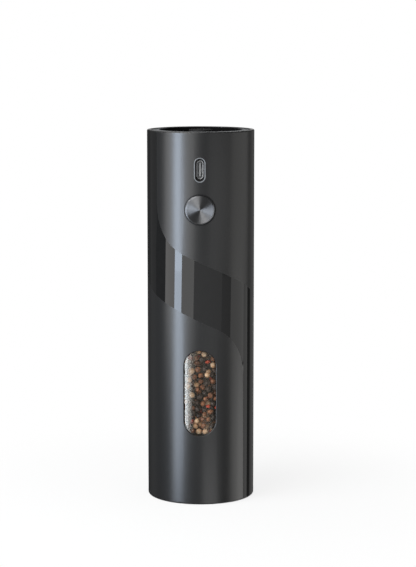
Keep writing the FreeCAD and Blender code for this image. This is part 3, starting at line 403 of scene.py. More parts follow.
# %% [markdown]
# The ribbon is the same plastic under a polished black lacquer, as on a piano. It has almost no colour
# of its own. What shows is a crisp image of the room, only a few percent as bright as the room is, and
# much brighter at the very edge of the tube. Sprayed gloss keeps a faint ripple, about 3 mm wide.

# %% Black lacquer, sprayed and polished
tree, place = start("gloss_black", "black_lacquer_polished_gloss")
ripple = add(tree, "ShaderNodeTexNoise", {"Vector": place, "Scale": repeats(3.0), "Detail": 1.0})
depth = add(tree, "ShaderNodeMix", {
    FACTOR: ripple.outputs["Fac"],
    FIRST: linear("#161616"),
    SECOND: linear("#1a1a1a"),
}, data_type="RGBA")
polish = add(tree, "ShaderNodeMapRange", {"Value": ripple.outputs["Fac"], "To Min": 0.03, "To Max": 0.05})
peel = add(tree, "ShaderNodeBump", {
    "Height": ripple.outputs["Fac"],
    "Strength": 0.05,
    "Distance": 0.002 * mm,
})
# Black glass to the eye: sharp upright bands over nothing.
close(tree, add(tree, "ShaderNodeBsdfPrincipled", {
    "Base Color": depth.outputs[MIXED],
    "Roughness": polish.outputs["Result"],
    "IOR": 1.52,
    "Normal": peel.outputs["Normal"],
}))

# %% [markdown]
# The cap in the top is moulded plastic. Its lip is smooth, and the sunk dish is near black, with a deep
# pebble from a spark-eroded mould that dulls it further. The lip is drawn in a lighter grey than the
# dish:
# a painted highlight along the rim. Both come from one mould, so the change lies at the lip's inner edge,
# and the finish finds it by its distance from the middle.

# %% Cap plastic, moulded smooth on the lip and deep spark texture in the dish, with a painted highlight on the lip
lip_start = 20.6 * mm
lip_full = 20.9 * mm

tree, place = start("cap_plastic", "abs_moulded_spark_texture_painted_lip_highlight")
pebble = add(tree, "ShaderNodeTexNoise", {"Vector": place, "Scale": repeats(0.4), "Detail": 3.0})
tone = add(tree, "ShaderNodeMix", {
    FACTOR: pebble.outputs["Fac"],
    FIRST: linear("#060607"),
    SECOND: linear("#0b0b0c"),
}, data_type="RGBA")
grain = add(tree, "ShaderNodeBump", {
    "Height": pebble.outputs["Fac"],
    "Strength": 0.25,
    "Distance": 0.03 * mm,
})
dish = add(tree, "ShaderNodeBsdfPrincipled", {
    "Base Color": tone.outputs[MIXED],
    "Roughness": 0.8,
    "Specular IOR Level": 0.12,
    "Normal": grain.outputs["Normal"],
})
matt = add(tree, "ShaderNodeMapRange", {"Value": pebble.outputs["Fac"], "To Min": 0.40, "To Max": 0.48})
# Painted highlight: the lip's grey is lighter than the dish's black, and stands in for the light along
# the rim.
lip = add(tree, "ShaderNodeBsdfPrincipled", {
    "Base Color": linear("#707274"),
    "Roughness": matt.outputs["Result"],
    "IOR": 1.54,
})
level = add(tree, "ShaderNodeVectorMath", {0: place, 1: (1.0, 1.0, 0.0)}, operation="MULTIPLY")
reach = add(tree, "ShaderNodeVectorMath", {0: level.outputs["Vector"]}, operation="LENGTH")
lip_highlight_share = add(tree, "ShaderNodeMapRange", {
    "Value": reach.outputs["Value"],
    "From Min": lip_start,
    "From Max": lip_full,
})
# A light ring round a black well. The ring's grey is a painted highlight.
close(tree, add(tree, "ShaderNodeMixShader", {
    0: lip_highlight_share.outputs["Result"],
    1: dish.outputs["BSDF"],
    2: lip.outputs["BSDF"],
}))

# %% [markdown]
# The grinding head, the knob, the button ring and the gear case are black plastic with the same kind
# of moulded skin, a little coarser, because it hides finger marks on a part that is gripped.

# %% Black plastic, moulded
tree, place = start("black_plastic", "abs_moulded_black")
pebble = add(tree, "ShaderNodeTexNoise", {"Vector": place, "Scale": repeats(0.5), "Detail": 3.0})
tone = add(tree, "ShaderNodeMix", {
    FACTOR: pebble.outputs["Fac"],
    FIRST: linear("#0a0a0b"),
    SECOND: linear("#121213"),
}, data_type="RGBA")
matt = add(tree, "ShaderNodeMapRange", {"Value": pebble.outputs["Fac"], "To Min": 0.40, "To Max": 0.52})
grain = add(tree, "ShaderNodeBump", {
    "Height": pebble.outputs["Fac"],
    "Strength": 0.3,
    "Distance": 0.04 * mm,
})
# Near black, with a dull bloom instead of a highlight.
close(tree, add(tree, "ShaderNodeBsdfPrincipled", {
    "Base Color": tone.outputs[MIXED],
    "Roughness": matt.outputs["Result"],
    "IOR": 1.54,
    "Normal": grain.outputs["Normal"],
}))

# %% [markdown]
# The window and the hopper behind it are clear acrylic. A glass shader bends every ray and then keeps
# lamps from finding what stands behind it. The walls here are thin, so bending hardly shows: a clear
# surface that mirrors a little, more towards its edges, looks the same and lets the lamps through. The
# pane is polished. The hopper, nearer to the middle, is rubbed dull by the corns and mirrors far less.

# %% Acrylic, moulded clear
hopper_end = 23.3 * mm
pane_start = 23.5 * mm
hopper_polish = 0.1

tree, place = start("clear_acrylic", "acrylic_moulded_clear")
rubs = add(tree, "ShaderNodeTexNoise", {"Vector": place, "Scale": repeats(6.0), "Detail": 4.0})
haze = add(tree, "ShaderNodeMapRange", {"Value": rubs.outputs["Fac"], "To Min": 0.17, "To Max": 0.20})
# The mirror is a little warm, so that the cool key panel looks neutral on the pane.
mirror = add(tree, "ShaderNodeBsdfGlossy", {
    "Color": linear("#fff6e7"),
    "Roughness": haze.outputs["Result"],
})
through = add(tree, "ShaderNodeBsdfTransparent", {"Color": linear("#fefefe")})
outside = add(tree, "ShaderNodeMath", {
    0: 1.0,
    1: add(tree, "ShaderNodeNewGeometry").outputs["Backfacing"],
}, operation="SUBTRACT")
level = add(tree, "ShaderNodeVectorMath", {0: place, 1: (1.0, 1.0, 0.0)}, operation="MULTIPLY")
reach = add(tree, "ShaderNodeVectorMath", {0: level.outputs["Vector"]}, operation="LENGTH")
on_pane = add(tree, "ShaderNodeMapRange", {
    "Value": reach.outputs["Value"],
    "From Min": hopper_end,
    "From Max": pane_start,
    "To Min": hopper_polish,
})
polished = add(tree, "ShaderNodeMath", {
    0: outside.outputs["Value"],
    1: on_pane.outputs["Result"],
}, operation="MULTIPLY")
share = add(tree, "ShaderNodeMath", {
    0: add(tree, "ShaderNodeFresnel", {"IOR": 2.0}).outputs["Fac"],
    1: polished.outputs["Value"],
}, operation="MULTIPLY")
# Invisible face on, with the bright panel lying on it as a pale upright bar.
close(tree, add(tree, "ShaderNodeMixShader", {
    0: share.outputs["Value"],
    1: through.outputs["BSDF"],
    2: mirror.outputs["BSDF"],
}))

# %% [markdown]
# The button's face is aluminium, turned on a lathe with a fine tool that leaves circular lines. Light
# spreads across the lines and not along them, which gives the bow tie of bright and dark lobes.

# %% Aluminium, turned with circular lines
tree, place = start("spun_aluminium", "aluminium_turned_circular")
streaks = add(tree, "ShaderNodeTexNoise", {"Vector": place, "Scale": repeats(1.2), "Detail": 2.0})
tone = add(tree, "ShaderNodeMix", {
    FACTOR: streaks.outputs["Fac"],
    FIRST: linear("#808183"),
    SECOND: linear("#8d8e90"),
}, data_type="RGBA")
around = add(tree, "ShaderNodeTangent", direction_type="RADIAL", axis="Y")
# Metal that flashes in lobes as it turns.
close(tree, add(tree, "ShaderNodeBsdfPrincipled", {
    "Base Color": tone.outputs[MIXED],
    "Metallic": 1.0,
    "Roughness": 0.42,
    "Anisotropic": 1.0,
    "Anisotropic Rotation": 0.277,
    "Tangent": around.outputs["Tangent"],
}))

# %% [markdown]
# Inside, the chassis is nylon with chopped glass in it. The fibres lie along the flow of the melt, so
# the grey shows faint upright streaks, about 0.4 mm wide and some millimetres long.

# %% Nylon, glass filled and moulded
tree, place = start("grey_nylon", "nylon_glass_filled_moulded")
flow = add(tree, "ShaderNodeMapping", {"Vector": place, "Scale": (1.0, 1.0, 0.12)})
fibres = add(tree, "ShaderNodeTexNoise", {
    "Vector": flow.outputs["Vector"],
    "Scale": repeats(0.4),
    "Detail": 3.0,
})
tone = add(tree, "ShaderNodeMix", {
    FACTOR: fibres.outputs["Fac"],
    FIRST: linear("#c6c8c9"),
    SECOND: linear("#d6d8d9"),
}, data_type="RGBA")
grain = add(tree, "ShaderNodeBump", {
    "Height": fibres.outputs["Fac"],
    "Strength": 0.2,
    "Distance": 0.03 * mm,
})
# Chalky pale grey with a drawn grain.
close(tree, add(tree, "ShaderNodeBsdfPrincipled", {
    "Base Color": tone.outputs[MIXED],
    "Roughness": 0.55,
    "IOR": 1.53,
    "Normal": grain.outputs["Normal"],
}))

# %% [markdown]
# Gears, the hub and the thrust washer are natural acetal, a slippery white plastic. Light goes a short
# way into it, so its edges look a little waxy.

# %% Acetal, moulded natural
tree, place = start("acetal", "acetal_moulded_natural")
cloud = add(tree, "ShaderNodeTexNoise", {"Vector": place, "Scale": repeats(2.0), "Detail": 2.0})
tone = add(tree, "ShaderNodeMix", {
    FACTOR: cloud.outputs["Fac"],
    FIRST: linear("#dcd8cb"),
    SECOND: linear("#e9e6dc"),
}, data_type="RGBA")
slick = add(tree, "ShaderNodeMapRange", {"Value": cloud.outputs["Fac"], "To Min": 0.28, "To Max": 0.38})
# Milky and smooth, like candle wax that has set hard.
close(tree, add(tree, "ShaderNodeBsdfPrincipled", {
    "Base Color": tone.outputs[MIXED],
    "Roughness": slick.outputs["Result"],
    "IOR": 1.48,
    "Subsurface Weight": 0.15,
    "Subsurface Radius": (0.8 * mm, 0.7 * mm, 0.6 * mm),
    "Subsurface Scale": 1.0,
}))

# %% [markdown]
# Shafts, screws, carriers and the spring are ground steel. Grinding leaves fine lines round a turned
# piece, here one every 0.3 mm along the axis, coarser than the real ones so that they show.

# %% Steel, ground
tree, place = start("steel", "steel_ground")
rings = add(tree, "ShaderNodeMapping", {"Vector": place, "Scale": (0.05, 0.05, 1.0)})
lines = add(tree, "ShaderNodeTexNoise", {
    "Vector": rings.outputs["Vector"],
    "Scale": repeats(0.3),
    "Detail": 2.0,
})
tone = add(tree, "ShaderNodeMix", {
    FACTOR: lines.outputs["Fac"],
    FIRST: linear("#999ca0"),
    SECOND: linear("#b0b3b6"),
}, data_type="RGBA")
ground = add(tree, "ShaderNodeMapRange", {"Value": lines.outputs["Fac"], "To Min": 0.22, "To Max": 0.34})
# Cool grey with a stretched gleam.
close(tree, add(tree, "ShaderNodeBsdfPrincipled", {
    "Base Color": tone.outputs[MIXED],
    "Metallic": 1.0,
    "Roughness": ground.outputs["Result"],
}))

# %% [markdown]
# The motor can and its plate are drawn steel with a zinc coat. Zinc sets in small crystals, each with
# its own tilt, so the grey is broken into patches about 1.5 mm wide.

# %% Zinc on drawn steel
tree, place = start("zinc_can", "steel_drawn_zinc_plated")
crystals = add(tree, "ShaderNodeTexVoronoi", {"Vector": place, "Scale": repeats(1.5)})
shade = add(tree, "ShaderNodeSeparateColor", {"Color": crystals.outputs["Color"]})
tone = add(tree, "ShaderNodeMix", {
    FACTOR: shade.outputs["Red"],
    FIRST: linear("#a6a9ab"),
    SECOND: linear("#bcbfc1"),
}, data_type="RGBA")
dull = add(tree, "ShaderNodeMapRange", {"Value": shade.outputs["Green"], "To Min": 0.28, "To Max": 0.42})
# Pale patchwork metal.
close(tree, add(tree, "ShaderNodeBsdfPrincipled", {
    "Base Color": tone.outputs[MIXED],
    "Metallic": 1.0,
    "Roughness": dull.outputs["Result"],
}))

# %% [markdown]
# The two burrs are alumina, pressed from powder and fired. It is hard, off-white and nearly matt, with
# a speckle of grains that are under 0.1 mm in the real piece and drawn at 0.4 mm here.

# %% Alumina, pressed and fired
tree, place = start("ceramic", "alumina_pressed_fired")
grains = add(tree, "ShaderNodeTexNoise", {"Vector": place, "Scale": repeats(0.4), "Detail": 4.0})
tone = add(tree, "ShaderNodeMix", {
    FACTOR: grains.outputs["Fac"],
    FIRST: linear("#e2ded4"),
    SECOND: linear("#f1eee7"),
}, data_type="RGBA")
tooth = add(tree, "ShaderNodeBump", {
    "Height": grains.outputs["Fac"],
    "Strength": 0.2,
    "Distance": 0.03 * mm,
})
# Eggshell white that stays soft in strong light.
close(tree, add(tree, "ShaderNodeBsdfPrincipled", {
    "Base Color": tone.outputs[MIXED],
    "Roughness": 0.42,
    "IOR": 1.76,
    "Normal": tooth.outputs["Normal"],
}))

# %% [markdown]
# The shaft's bush and the motor's pinion are sintered bronze: powder pressed and baked until it just
# joins. The pores between the grains hold oil, and they dot the metal with dark specks.

# %% Bronze, sintered and oiled
tree, place = start("sintered_bronze", "bronze_sintered_oiled")
pores = add(tree, "ShaderNodeTexVoronoi", {"Vector": place, "Scale": repeats(0.25)})
open_share = add(tree, "ShaderNodeMapRange", {
    "Value": pores.outputs["Distance"],
    "From Min": 0.1,
    "From Max": 0.4,
})
tone = add(tree, "ShaderNodeMix", {
    FACTOR: open_share.outputs["Result"],
    FIRST: linear("#6e4d26"),
    SECOND: linear("#ad8046"),
}, data_type="RGBA")
pitting = add(tree, "ShaderNodeBump", {
    "Height": open_share.outputs["Result"],
    "Strength": 0.3,
    "Distance": 0.03 * mm,
})
# Warm brown metal with a damp look.
close(tree, add(tree, "ShaderNodeBsdfPrincipled", {
    "Base Color": tone.outputs[MIXED],
    "Metallic": 1.0,
    "Roughness": 0.4,
    "Normal": pitting.outputs["Normal"],
}))

# %% [markdown]
# The seals and the plug over the cap's screw are silicone rubber, moulded in a blasted tool and a
# little dusty to the eye.

# %% Silicone, moulded
tree, place = start("silicone", "silicone_moulded_black")
bloom = add(tree, "ShaderNodeTexNoise", {"Vector": place, "Scale": repeats(1.0), "Detail": 3.0})
tone = add(tree, "ShaderNodeMix", {
    FACTOR: bloom.outputs["Fac"],
    FIRST: linear("#161617"),
    SECOND: linear("#1f1f20"),
}, data_type="RGBA")
skin = add(tree, "ShaderNodeMapRange", {"Value": bloom.outputs["Fac"], "To Min": 0.62, "To Max": 0.75})
# Flat and nearly black, with no highlight to speak of.
close(tree, add(tree, "ShaderNodeBsdfPrincipled", {
    "Base Color": tone.outputs[MIXED],
    "Roughness": skin.outputs["Result"],
    "IOR": 1.41,
}))

# %% [markdown]
# The circuit board is glass cloth and resin under a green solder mask. Copper tracks lie under the
# mask as slightly paler lines, so a square cell pattern about 2.5 mm wide stands in for them.

# %% Circuit board, solder masked
tree, place = start("board_green", "glass_epoxy_solder_masked")
tracks = add(tree, "ShaderNodeTexVoronoi", {"Vector": place, "Scale": repeats(2.5)}, distance="CHEBYCHEV")
line = add(tree, "ShaderNodeMapRange", {
    "Value": tracks.outputs["Distance"],
    "From Min": 0.38,
    "From Max": 0.46,
})
tone = add(tree, "ShaderNodeMix", {
    FACTOR: line.outputs["Result"],
    FIRST: linear("#195233"),
    SECOND: linear("#2a7048"),
}, data_type="RGBA")
ridge = add(tree, "ShaderNodeBump", {
    "Height": line.outputs["Result"],
    "Strength": 0.3,
    "Distance": 0.03 * mm,
})
# Glossy green, with tracks showing through like veins.
close(tree, add(tree, "ShaderNodeBsdfPrincipled", {
    "Base Color": tone.outputs[MIXED],
    "Roughness": 0.28,
    "IOR": 1.52,
    "Normal": ridge.outputs["Normal"],
}))

# %% [markdown]
# The parts on the board are moulded in black resin filled with fine sand, which leaves them dull.

# %% Chip resin, moulded
tree, place = start("chip_black", "epoxy_moulded_filled")
sand = add(tree, "ShaderNodeTexNoise", {"Vector": place, "Scale": repeats(0.2), "Detail": 2.0})
tone = add(tree, "ShaderNodeMix", {
    FACTOR: sand.outputs["Fac"],
    FIRST: linear("#1e1e20"),
    SECOND: linear("#29292b"),
}, data_type="RGBA")
rough = add(tree, "ShaderNodeMapRange", {"Value": sand.outputs["Fac"], "To Min": 0.5, "To Max": 0.62})
# Matt charcoal.
close(tree, add(tree, "ShaderNodeBsdfPrincipled", {
    "Base Color": tone.outputs[MIXED],
    "Roughness": rough.outputs["Result"],
    "IOR": 1.55,
}))

# %% [markdown]
# The motor's tabs are brass dipped in tin. The tin is thin, so the yellow of the brass comes through
# in clouds.

# %% Brass, tinned
tree, place = start("tinned_brass", "brass_tinned")
clouds = add(tree, "ShaderNodeTexNoise", {"Vector": place, "Scale": repeats(0.8), "Detail": 2.0})
tone = add(tree, "ShaderNodeMix", {
    FACTOR: clouds.outputs["Fac"],
    FIRST: linear("#c4b07a"),
    SECOND: linear("#cdc6b4"),
}, data_type="RGBA")
dip = add(tree, "ShaderNodeMapRange", {"Value": clouds.outputs["Fac"], "To Min": 0.2, "To Max": 0.35})
# Pale gold going to silver.
close(tree, add(tree, "ShaderNodeBsdfPrincipled", {
    "Base Color": tone.outputs[MIXED],
    "Metallic": 1.0,
    "Roughness": dip.outputs["Result"],
}))

# %% [markdown]
# The charging port's shell is drawn from thin bright steel. Drawing pulls fine lines along its length,
# which is the direction into the mill.

# %% Bright steel, drawn
tree, place = start("port_steel", "stainless_steel_drawn_bright")
pull = add(tree, "ShaderNodeMapping", {"Vector": place, "Scale": (1.0, 0.08, 1.0)})
lines = add(tree, "ShaderNodeTexNoise", {
    "Vector": pull.outputs["Vector"],
    "Scale": repeats(0.3),
    "Detail": 2.0,
})
tone = add(tree, "ShaderNodeMix", {
    FACTOR: lines.outputs["Fac"],
    FIRST: linear("#e2e4e5"),
    SECOND: linear("#f0f1f2"),
}, data_type="RGBA")
bright = add(tree, "ShaderNodeMapRange", {"Value": lines.outputs["Fac"], "To Min": 0.38, "To Max": 0.5})
# A light metal line inside the dark slot.
close(tree, add(tree, "ShaderNodeBsdfPrincipled", {
    "Base Color": tone.outputs[MIXED],
    "Metallic": 0.25,
    "Roughness": bright.outputs["Result"],
}))

# %% [markdown]
# The cell is a pouch of aluminium foil between two films. The foil crinkles a little over what it
# holds, in soft dents some 5 mm across.

# %% Foil pouch, heat sealed
tree, place = start("cell_wrap", "foil_laminate_heat_sealed")
dents = add(tree, "ShaderNodeTexNoise", {"Vector": place, "Scale": repeats(5.0), "Detail": 2.0})
tone = add(tree, "ShaderNodeMix", {
    FACTOR: dents.outputs["Fac"],
    FIRST: linear("#b0b3b7"),
    SECOND: linear("#c2c5c8"),
}, data_type="RGBA")
crinkle = add(tree, "ShaderNodeBump", {
    "Height": dents.outputs["Fac"],
    "Strength": 0.4,
    "Distance": 0.3 * mm,
})
# Dull silver, slightly crumpled.
close(tree, add(tree, "ShaderNodeBsdfPrincipled", {
    "Base Color": tone.outputs[MIXED],
    "Metallic": 0.9,
    "Roughness": 0.38,
    "Normal": crinkle.outputs["Normal"],
}))

# %% [markdown]
# The leads are copper strands in soft vinyl. One lead of each pair is red and the other black, so that
# the cell can't be joined the wrong way round. The red ones lie on the mill's right, where x is above
# zero, and a step on that place picks the colour.

# %% Vinyl, extruded
tree, place = start("lead_sleeve", "vinyl_extruded_red_and_black")
side = add(tree, "ShaderNodeMath", {
    0: add(tree, "ShaderNodeSeparateXYZ", {"Vector": place}).outputs["X"],
    1: 0.0,
}, operation="GREATER_THAN")
tone = add(tree, "ShaderNodeMix", {
    FACTOR: side.outputs["Value"],
    FIRST: linear("#1b1b1c"),
    SECOND: linear("#a3221e"),
}, data_type="RGBA")
drag = add(tree, "ShaderNodeTexNoise", {"Vector": place, "Scale": repeats(0.6), "Detail": 2.0})
waxy = add(tree, "ShaderNodeMapRange", {"Value": drag.outputs["Fac"], "To Min": 0.35, "To Max": 0.48})
# Soft plastic with a waxy gleam.
close(tree, add(tree, "ShaderNodeBsdfPrincipled", {
    "Base Color": tone.outputs[MIXED],
    "Roughness": waxy.outputs["Result"],
    "IOR": 1.53,
}))

# %% [markdown]
# The record says which slot each node takes its finish from, so one loop dresses them all.

# %% Dress the solids
for row in frame["record"]["subparts"]:
    piece = nodes[row["node"]]
    piece.data.materials.clear()
    piece.data.materials.append(finishes[row["material_slot"]])

# %% [markdown]
# What comes off a lathe is a profile, spun round an axis. Blender's Screw modifier can spin one too. This
# helper makes the mesh at once, so that it is closed: each point of the profile becomes a ring of
# points, a point on the axis stays one point, and faces join each ring to the next.

# %% Spin a profile
ring_points = 128


def turned(name, profile, middle):
    """A closed mesh from (radius, depth) points spun round an axis that runs along Y."""
    made = bmesh.new()
    rows = []
    for radius, depth in profile:
        ring = []
        for step in range(ring_points if radius > 0 else 1):
            angle = 2 * math.pi * step / ring_points
            ring.append(made.verts.new((radius * math.cos(angle), depth, radius * math.sin(angle))))
        rows.append(ring)
    for inner, outer in zip(rows, rows[1:]):
        for step in range(ring_points):
            after = (step + 1) % ring_points
            corners = [inner[step % len(inner)], outer[step % len(outer)]]
            corners += [outer[after % len(outer)], inner[after % len(inner)]]
            made.faces.new(list(dict.fromkeys(corners)))
    bmesh.ops.recalc_face_normals(made, faces=made.faces)
    mesh = bpy.data.meshes.new(name)
    made.to_mesh(mesh)
    made.free()
    mesh.shade_smooth()
    piece = bpy.data.objects.new(name, mesh)
    piece.location = middle
    scene.collection.objects.link(piece)
    return piece


print("spin:", ring_points, "points to a ring")

# %% [markdown]
# The button's face is one solid disc in the frame. A lathe leaves it with shallow rings, so this piece
# is turned from a profile: a line of points from the middle out, with a ring every 0.3 mm, then the
# bright bevel and the wall. Real rings are finer still.

# %% Turned button face
face_low, face_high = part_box("button_cap")
face_radius = (face_high.x - face_low.x) / 2
face_depth = face_high.y - face_low.y
bevel = 0.35 * mm
ring_pitch = 0.3 * mm
ring_depth = 0.012 * mm
flat_radius = face_radius - bevel
ring_count = int(flat_radius / ring_pitch)
profile = [(0.0, 0.0)]
for ring in range(1, 2 * ring_count):
    profile.append((ring * ring_pitch / 2, ring_depth if ring % 2 else 0.0))
profile += [(flat_radius, 0.0), (face_radius, bevel), (face_radius, face_depth), (0.0, face_depth)]
button_face = turned("button_face", profile, (
    (face_low.x + face_high.x) / 2, face_low.y, (face_low.z + face_high.z) / 2,
))
button_face.data.materials.append(finishes["spun_aluminium"])
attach(button_face, "button")
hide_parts("button_cap")
print("button face:", ring_count, "rings,", len(button_face.data.polygons), "faces")

# %% [markdown]
# The charging slot is lined with the cap's plastic, and the lining ends in a fine rounded bead. The bead
# catches light, and it also takes the lip's painted highlight grey, so it shows as a thin light line
# round the slot, which a plain bevel doesn't. The bead is a slot-shaped path with half a circle of points
# across it, its crest just inside the tube's front.

# %% Bead round the charging slot
slot_low, slot_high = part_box("port_shell")
slot_level = (slot_low.z + slot_high.z) / 2
bead_straight = 3.25 * mm
bead_reach = 2.60 * mm
bead_half = 0.30 * mm
bead_margin = 0.01 * mm
bead_front = -cad_box[0][1] - bead_margin
bead_rise = 0.3 * mm
bead_steps = 96
bead_points = 10

shape = bmesh.new()
rows = []
for step in range(bead_steps):
    angle = 2 * math.pi * (step + 0.5) / bead_steps
    middle = slot_level + math.copysign(bead_straight, math.sin(angle))
    row = []
    for point in range(bead_points + 1):
        across = math.pi * point / bead_points
        reach = bead_reach - bead_half * math.cos(across)
        depth = bead_front - bead_rise * (1 - math.sin(across))
        row.append(shape.verts.new((reach * math.cos(angle), -depth, middle + reach * math.sin(angle))))
    rows.append(row)
for step, row in enumerate(rows):
    after = rows[(step + 1) % bead_steps]
    for point in range(bead_points + 1):
        beside = (point + 1) % (bead_points + 1)
        shape.faces.new((row[point], row[beside], after[beside], after[point]))
bmesh.ops.recalc_face_normals(shape, faces=shape.faces)
bead_mesh = bpy.data.meshes.new("port_bead")
shape.to_mesh(bead_mesh)
shape.free()
bead_mesh.shade_smooth()
# So far from the middle, the cap's finish shows its lip's grey, a painted highlight, and none of the
# dish's black.
bead_mesh.materials.append(finishes["cap_plastic"])
port_bead = bpy.data.objects.new("port_bead", bead_mesh)
scene.collection.objects.link(port_bead)
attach(port_bead, "housing")
print("port bead:", len(bead_mesh.polygons), "faces")

# %% [markdown]
# The spring under the shaft's collar gives way as the knob moves the burr; a rigid one would cut into the
# collar. Here the solid is copied into a mesh of its own that rides with the rotor, and the solid is
# hidden.

# %% Spring copied from its solid
give_spring = bpy.data.objects.new("spring_coil", nodes["burr_spring"].data.copy())
scene.collection.objects.link(give_spring)
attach(give_spring, "rotor")
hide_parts("burr_spring")
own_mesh(give_spring)

# %% [markdown]
# The leads are limp wires that leave a tab, turn over and run forward to the board. A curve with a
# round bevel is the quickest tube there is, and a NURBS curve rounds the turn by itself. Each pair is
# one piece with two splines.

# %% Leads
lead_radius = 0.7 * mm
turn_room = 0.3 * mm


def lead_pair(name, node, across, foot, level, finish_y):
    """Two leads on both sides of the middle that rise from foot = (y, z) and run forward at a level."""
    made = bpy.data.curves.new(name, "CURVE")
    made.dimensions = "3D"
    made.bevel_depth = lead_radius
    made.bevel_resolution = 4
    made.use_fill_caps = True
    back, low = foot
    route = [(back, low), (back, level - turn_room), (back - (level - low), level), (finish_y, level)]
    for x in (-across, across):
        spline = made.splines.new("NURBS")
        spline.points.add(len(route) - 1)
        for point, (y, z) in zip(spline.points, route):
            point.co = (x, y, z, 1.0)
        spline.order_u = 3
        spline.use_endpoint_u = True
        spline.resolution_u = 8
    made.materials.append(finishes["lead_sleeve"])
    piece = bpy.data.objects.new(name, made)
    scene.collection.objects.link(piece)
    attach(piece, "housing")
    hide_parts(node)
    return piece


for name, node in (("cell_leads", "battery_leads"), ("motor_tab_leads", "motor_leads")):
    low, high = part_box(node)
    foot = (high.y - lead_radius, low.z)
    pair = lead_pair(name, node, high.x - lead_radius, foot, high.z - lead_radius, low.y)
    print("leads:", pair.name, "rise", round((high.z - low.z) / mm, 1), "mm")

# %% [markdown]
# The hopper holds mixed peppercorns. A real heap comes from pouring, and Blender could simulate that,
# but a quiet packing is enough here: balls are strewn at random, and each pair that overlaps pushes
# itself apart, while the walls and the drive shaft push back. Only the corns that can be seen are made:
# a thick layer behind the window, and a layer over the grinding head. Random draws are seeded.

# %% Pack the peppercorns
# All lengths of the packing are in millimetres.
draw = np.random.default_rng(7)
strewn_count = 9000
corn_count = 940
corn_smallest = 1.3
corn_largest = 1.85
wall_radius = 21.55
shaft_clear = 5.6
bed_low = 33.9
bed_high = 81.0
layer_height = 6.5
layer_front = -7.0
push_rounds = 70
push_share = 0.35
no_distance = 1e-6

bed_first = (-wall_radius, -wall_radius, bed_low)
bed_last = (wall_radius, wall_radius, bed_high)
strewn = draw.uniform(bed_first, bed_last, (strewn_count, 3))
inside = np.hypot(strewn[:, 0], strewn[:, 1]) < wall_radius
low_layer = strewn[:, 2] < bed_low + layer_height
corn_places = strewn[inside & (low_layer | (strewn[:, 1] < layer_front))][:corn_count]
low_layer = corn_places[:, 2] < bed_low + layer_height
corn_radii = draw.uniform(corn_smallest, corn_largest, corn_count)
pair_reach = (corn_radii[:, None] + corn_radii[None, :]) * (1 - np.eye(corn_count))

for _ in range(push_rounds):
    apart = corn_places[:, None, :] - corn_places[None, :, :]
    gaps = np.linalg.norm(apart, axis=2) + np.eye(corn_count)
    push = np.clip(pair_reach - gaps, 0, None)
    corn_places += push_share * (apart * (push / gaps)[:, :, None]).sum(axis=1)
    corn_places[~low_layer, 1] = np.minimum(corn_places[~low_layer, 1], layer_front)
    out = np.hypot(corn_places[:, 0], corn_places[:, 1])
    held = np.clip(out, shaft_clear + corn_radii, wall_radius - corn_radii)
    corn_places[:, :2] *= (held / np.maximum(out, no_distance))[:, None]
    corn_places[:, 2] = np.clip(corn_places[:, 2], bed_low + corn_radii, bed_high - corn_radii)
print("packed:", len(corn_places), "corns, deepest overlap", round(float(push.max()), 2), "mm")

# %% [markdown]
# Black corns are dried with their skin, which shrinks into wrinkles. White corns lost that skin and
# are nearly smooth, and pink ones are thin papery shells. A wrinkled ball starts as an icosphere, and
# its points move in and out by ridged noise. A few different balls, turned every way, make a heap.

# %% Shape one peppercorn
fold_scale = 2.3
fine_fold_scale = 2.1
fine_fold_share = 0.5
swell_scale = 0.9
swell_depth = 0.06


def corn_shape(seed, wrinkle, squash, detail):
    """Points and faces of a ball of radius 1 with skin wrinkles, squashed along one axis."""
    made = bmesh.new()
    bmesh.ops.create_icosphere(made, subdivisions=detail, radius=1.0)
    # Each seed looks at the noise from two far places of its own.
    fold_place = Vector((seed * 11.3, seed * 5.7, 0))
    swell_place = Vector((seed * 3.1, 0, seed))
    for vert in made.verts:
        at = vert.co * fold_scale + fold_place
        fold = abs(noise.noise(at)) + fine_fold_share * abs(noise.noise(at * fine_fold_scale))
        swell = noise.noise(vert.co * swell_scale + swell_place)
        skin = 1 - wrinkle + wrinkle * min(1.0, 2.0 * fold)
        vert.co *= skin + swell_depth * swell - swell_depth
    points = np.array([v.co for v in made.verts]) * (1, 1, squash)
    faces = np.array([[v.index for v in f.verts] for f in made.faces])
    made.free()
    return points, faces


print("one corn:", len(corn_shape(1, 0.2, 1.0, 3)[0]), "points")

# %% [markdown]
# The skins differ in colour and gloss. Each has mottling at about a third of a corn's width, and fine
# creases that the mesh is too coarse to carry, about 0.5 mm apart.

# %% Peppercorn skins
def corn_skin(name, dark, light, rough):
    """A dried skin with mottled colour and fine creases."""
    tree, place = start(name, name)
    mottle = add(tree, "ShaderNodeTexNoise", {"Vector": place, "Scale": repeats(1.6), "Detail": 4.0})
    spread = add(tree, "ShaderNodeMapRange", {
        "Value": mottle.outputs["Fac"],
        "From Min": 0.3,
        "From Max": 0.7,
    })
    tone = add(tree, "ShaderNodeMix", {
        FACTOR: spread.outputs["Result"],
        FIRST: linear(dark),
        SECOND: linear(light),
    }, data_type="RGBA")
    creases = add(tree, "ShaderNodeTexNoise", {"Vector": place, "Scale": repeats(0.5), "Detail": 2.0})
    folds = add(tree, "ShaderNodeBump", {
        "Height": creases.outputs["Fac"],
        "Strength": 0.7,
        "Distance": 0.2 * mm,
    })
    # A dry, uneven skin with small glints on its creases.
    close(tree, add(tree, "ShaderNodeBsdfPrincipled", {
        "Base Color": tone.outputs[MIXED],
        "Roughness": rough,
        "IOR": 1.46,
        "Normal": folds.outputs["Normal"],
    }))
    return finishes[name]


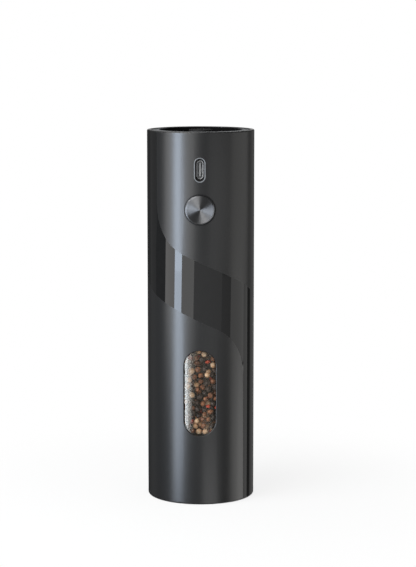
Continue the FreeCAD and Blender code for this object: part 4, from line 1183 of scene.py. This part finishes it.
skins = [
    corn_skin("peppercorn_black_dried", "#17110d", "#58463b", 0.42),
    corn_skin("peppercorn_brown_dried", "#512e1c", "#b5744a", 0.42),
    corn_skin("peppercorn_white_husked", "#dca06a", "#ffe0b8", 0.4),
    corn_skin("peppercorn_red_papery", "#96210f", "#e0532f", 0.36),
]

# %% [markdown]
# All corns of one kind are joined to one piece, which keeps the scene light. Corns near the window get
# the fine ball, and the rest of the heap, which only fills the dark behind them, gets a coarser one.

# %% Make the peppercorns
# One row for each skin, in the same order.
corn_shares = (0.46, 0.25, 0.19, 0.10)
corn_wrinkles = (0.34, 0.30, 0.08, 0.34)
corn_squashes = (1.0, 0.9, 1.0, 0.6)
coarse_ball = 2
fine_ball = 3
ball_count = 4
seed_step = 5
window_depth = -13
window_half = 12

kind_of = draw.choice(len(skins), corn_count, p=corn_shares)
spins = draw.normal(size=(corn_count, 4))
near_window = (corn_places[:, 1] < window_depth) & (np.abs(corn_places[:, 0]) < window_half)

for number, (skin, wrinkle, squash) in enumerate(zip(skins, corn_wrinkles, corn_squashes)):
    seeds = range(number * seed_step, number * seed_step + ball_count)
    balls = []
    for detail in (coarse_ball, fine_ball):
        balls.append([corn_shape(seed, wrinkle, squash, detail) for seed in seeds])
    points = []
    faces = []
    counted = 0
    for corn in np.flatnonzero(kind_of == number):
        ball_points, ball_faces = balls[int(near_window[corn])][corn % ball_count]
        w, x, y, z = spins[corn] / np.linalg.norm(spins[corn])
        turn = np.array([
            [1 - 2 * (y * y + z * z), 2 * (x * y - w * z), 2 * (x * z + w * y)],
            [2 * (x * y + w * z), 1 - 2 * (x * x + z * z), 2 * (y * z - w * x)],
            [2 * (x * z - w * y), 2 * (y * z + w * x), 1 - 2 * (x * x + y * y)],
        ])
        points.append((ball_points @ turn.T * corn_radii[corn] + corn_places[corn]) * mm)
        faces.append(ball_faces + counted)
        counted += len(ball_points)
    mesh = bpy.data.meshes.new(skin.name)
    mesh.from_pydata(np.concatenate(points), [], np.concatenate(faces))
    mesh.shade_smooth()
    mesh.materials.append(skin)
    heap = bpy.data.objects.new(skin.name, mesh)
    scene.collection.objects.link(heap)
    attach(heap, "housing")
    print(skin.name, len(faces), "corns,", len(mesh.polygons), "faces")
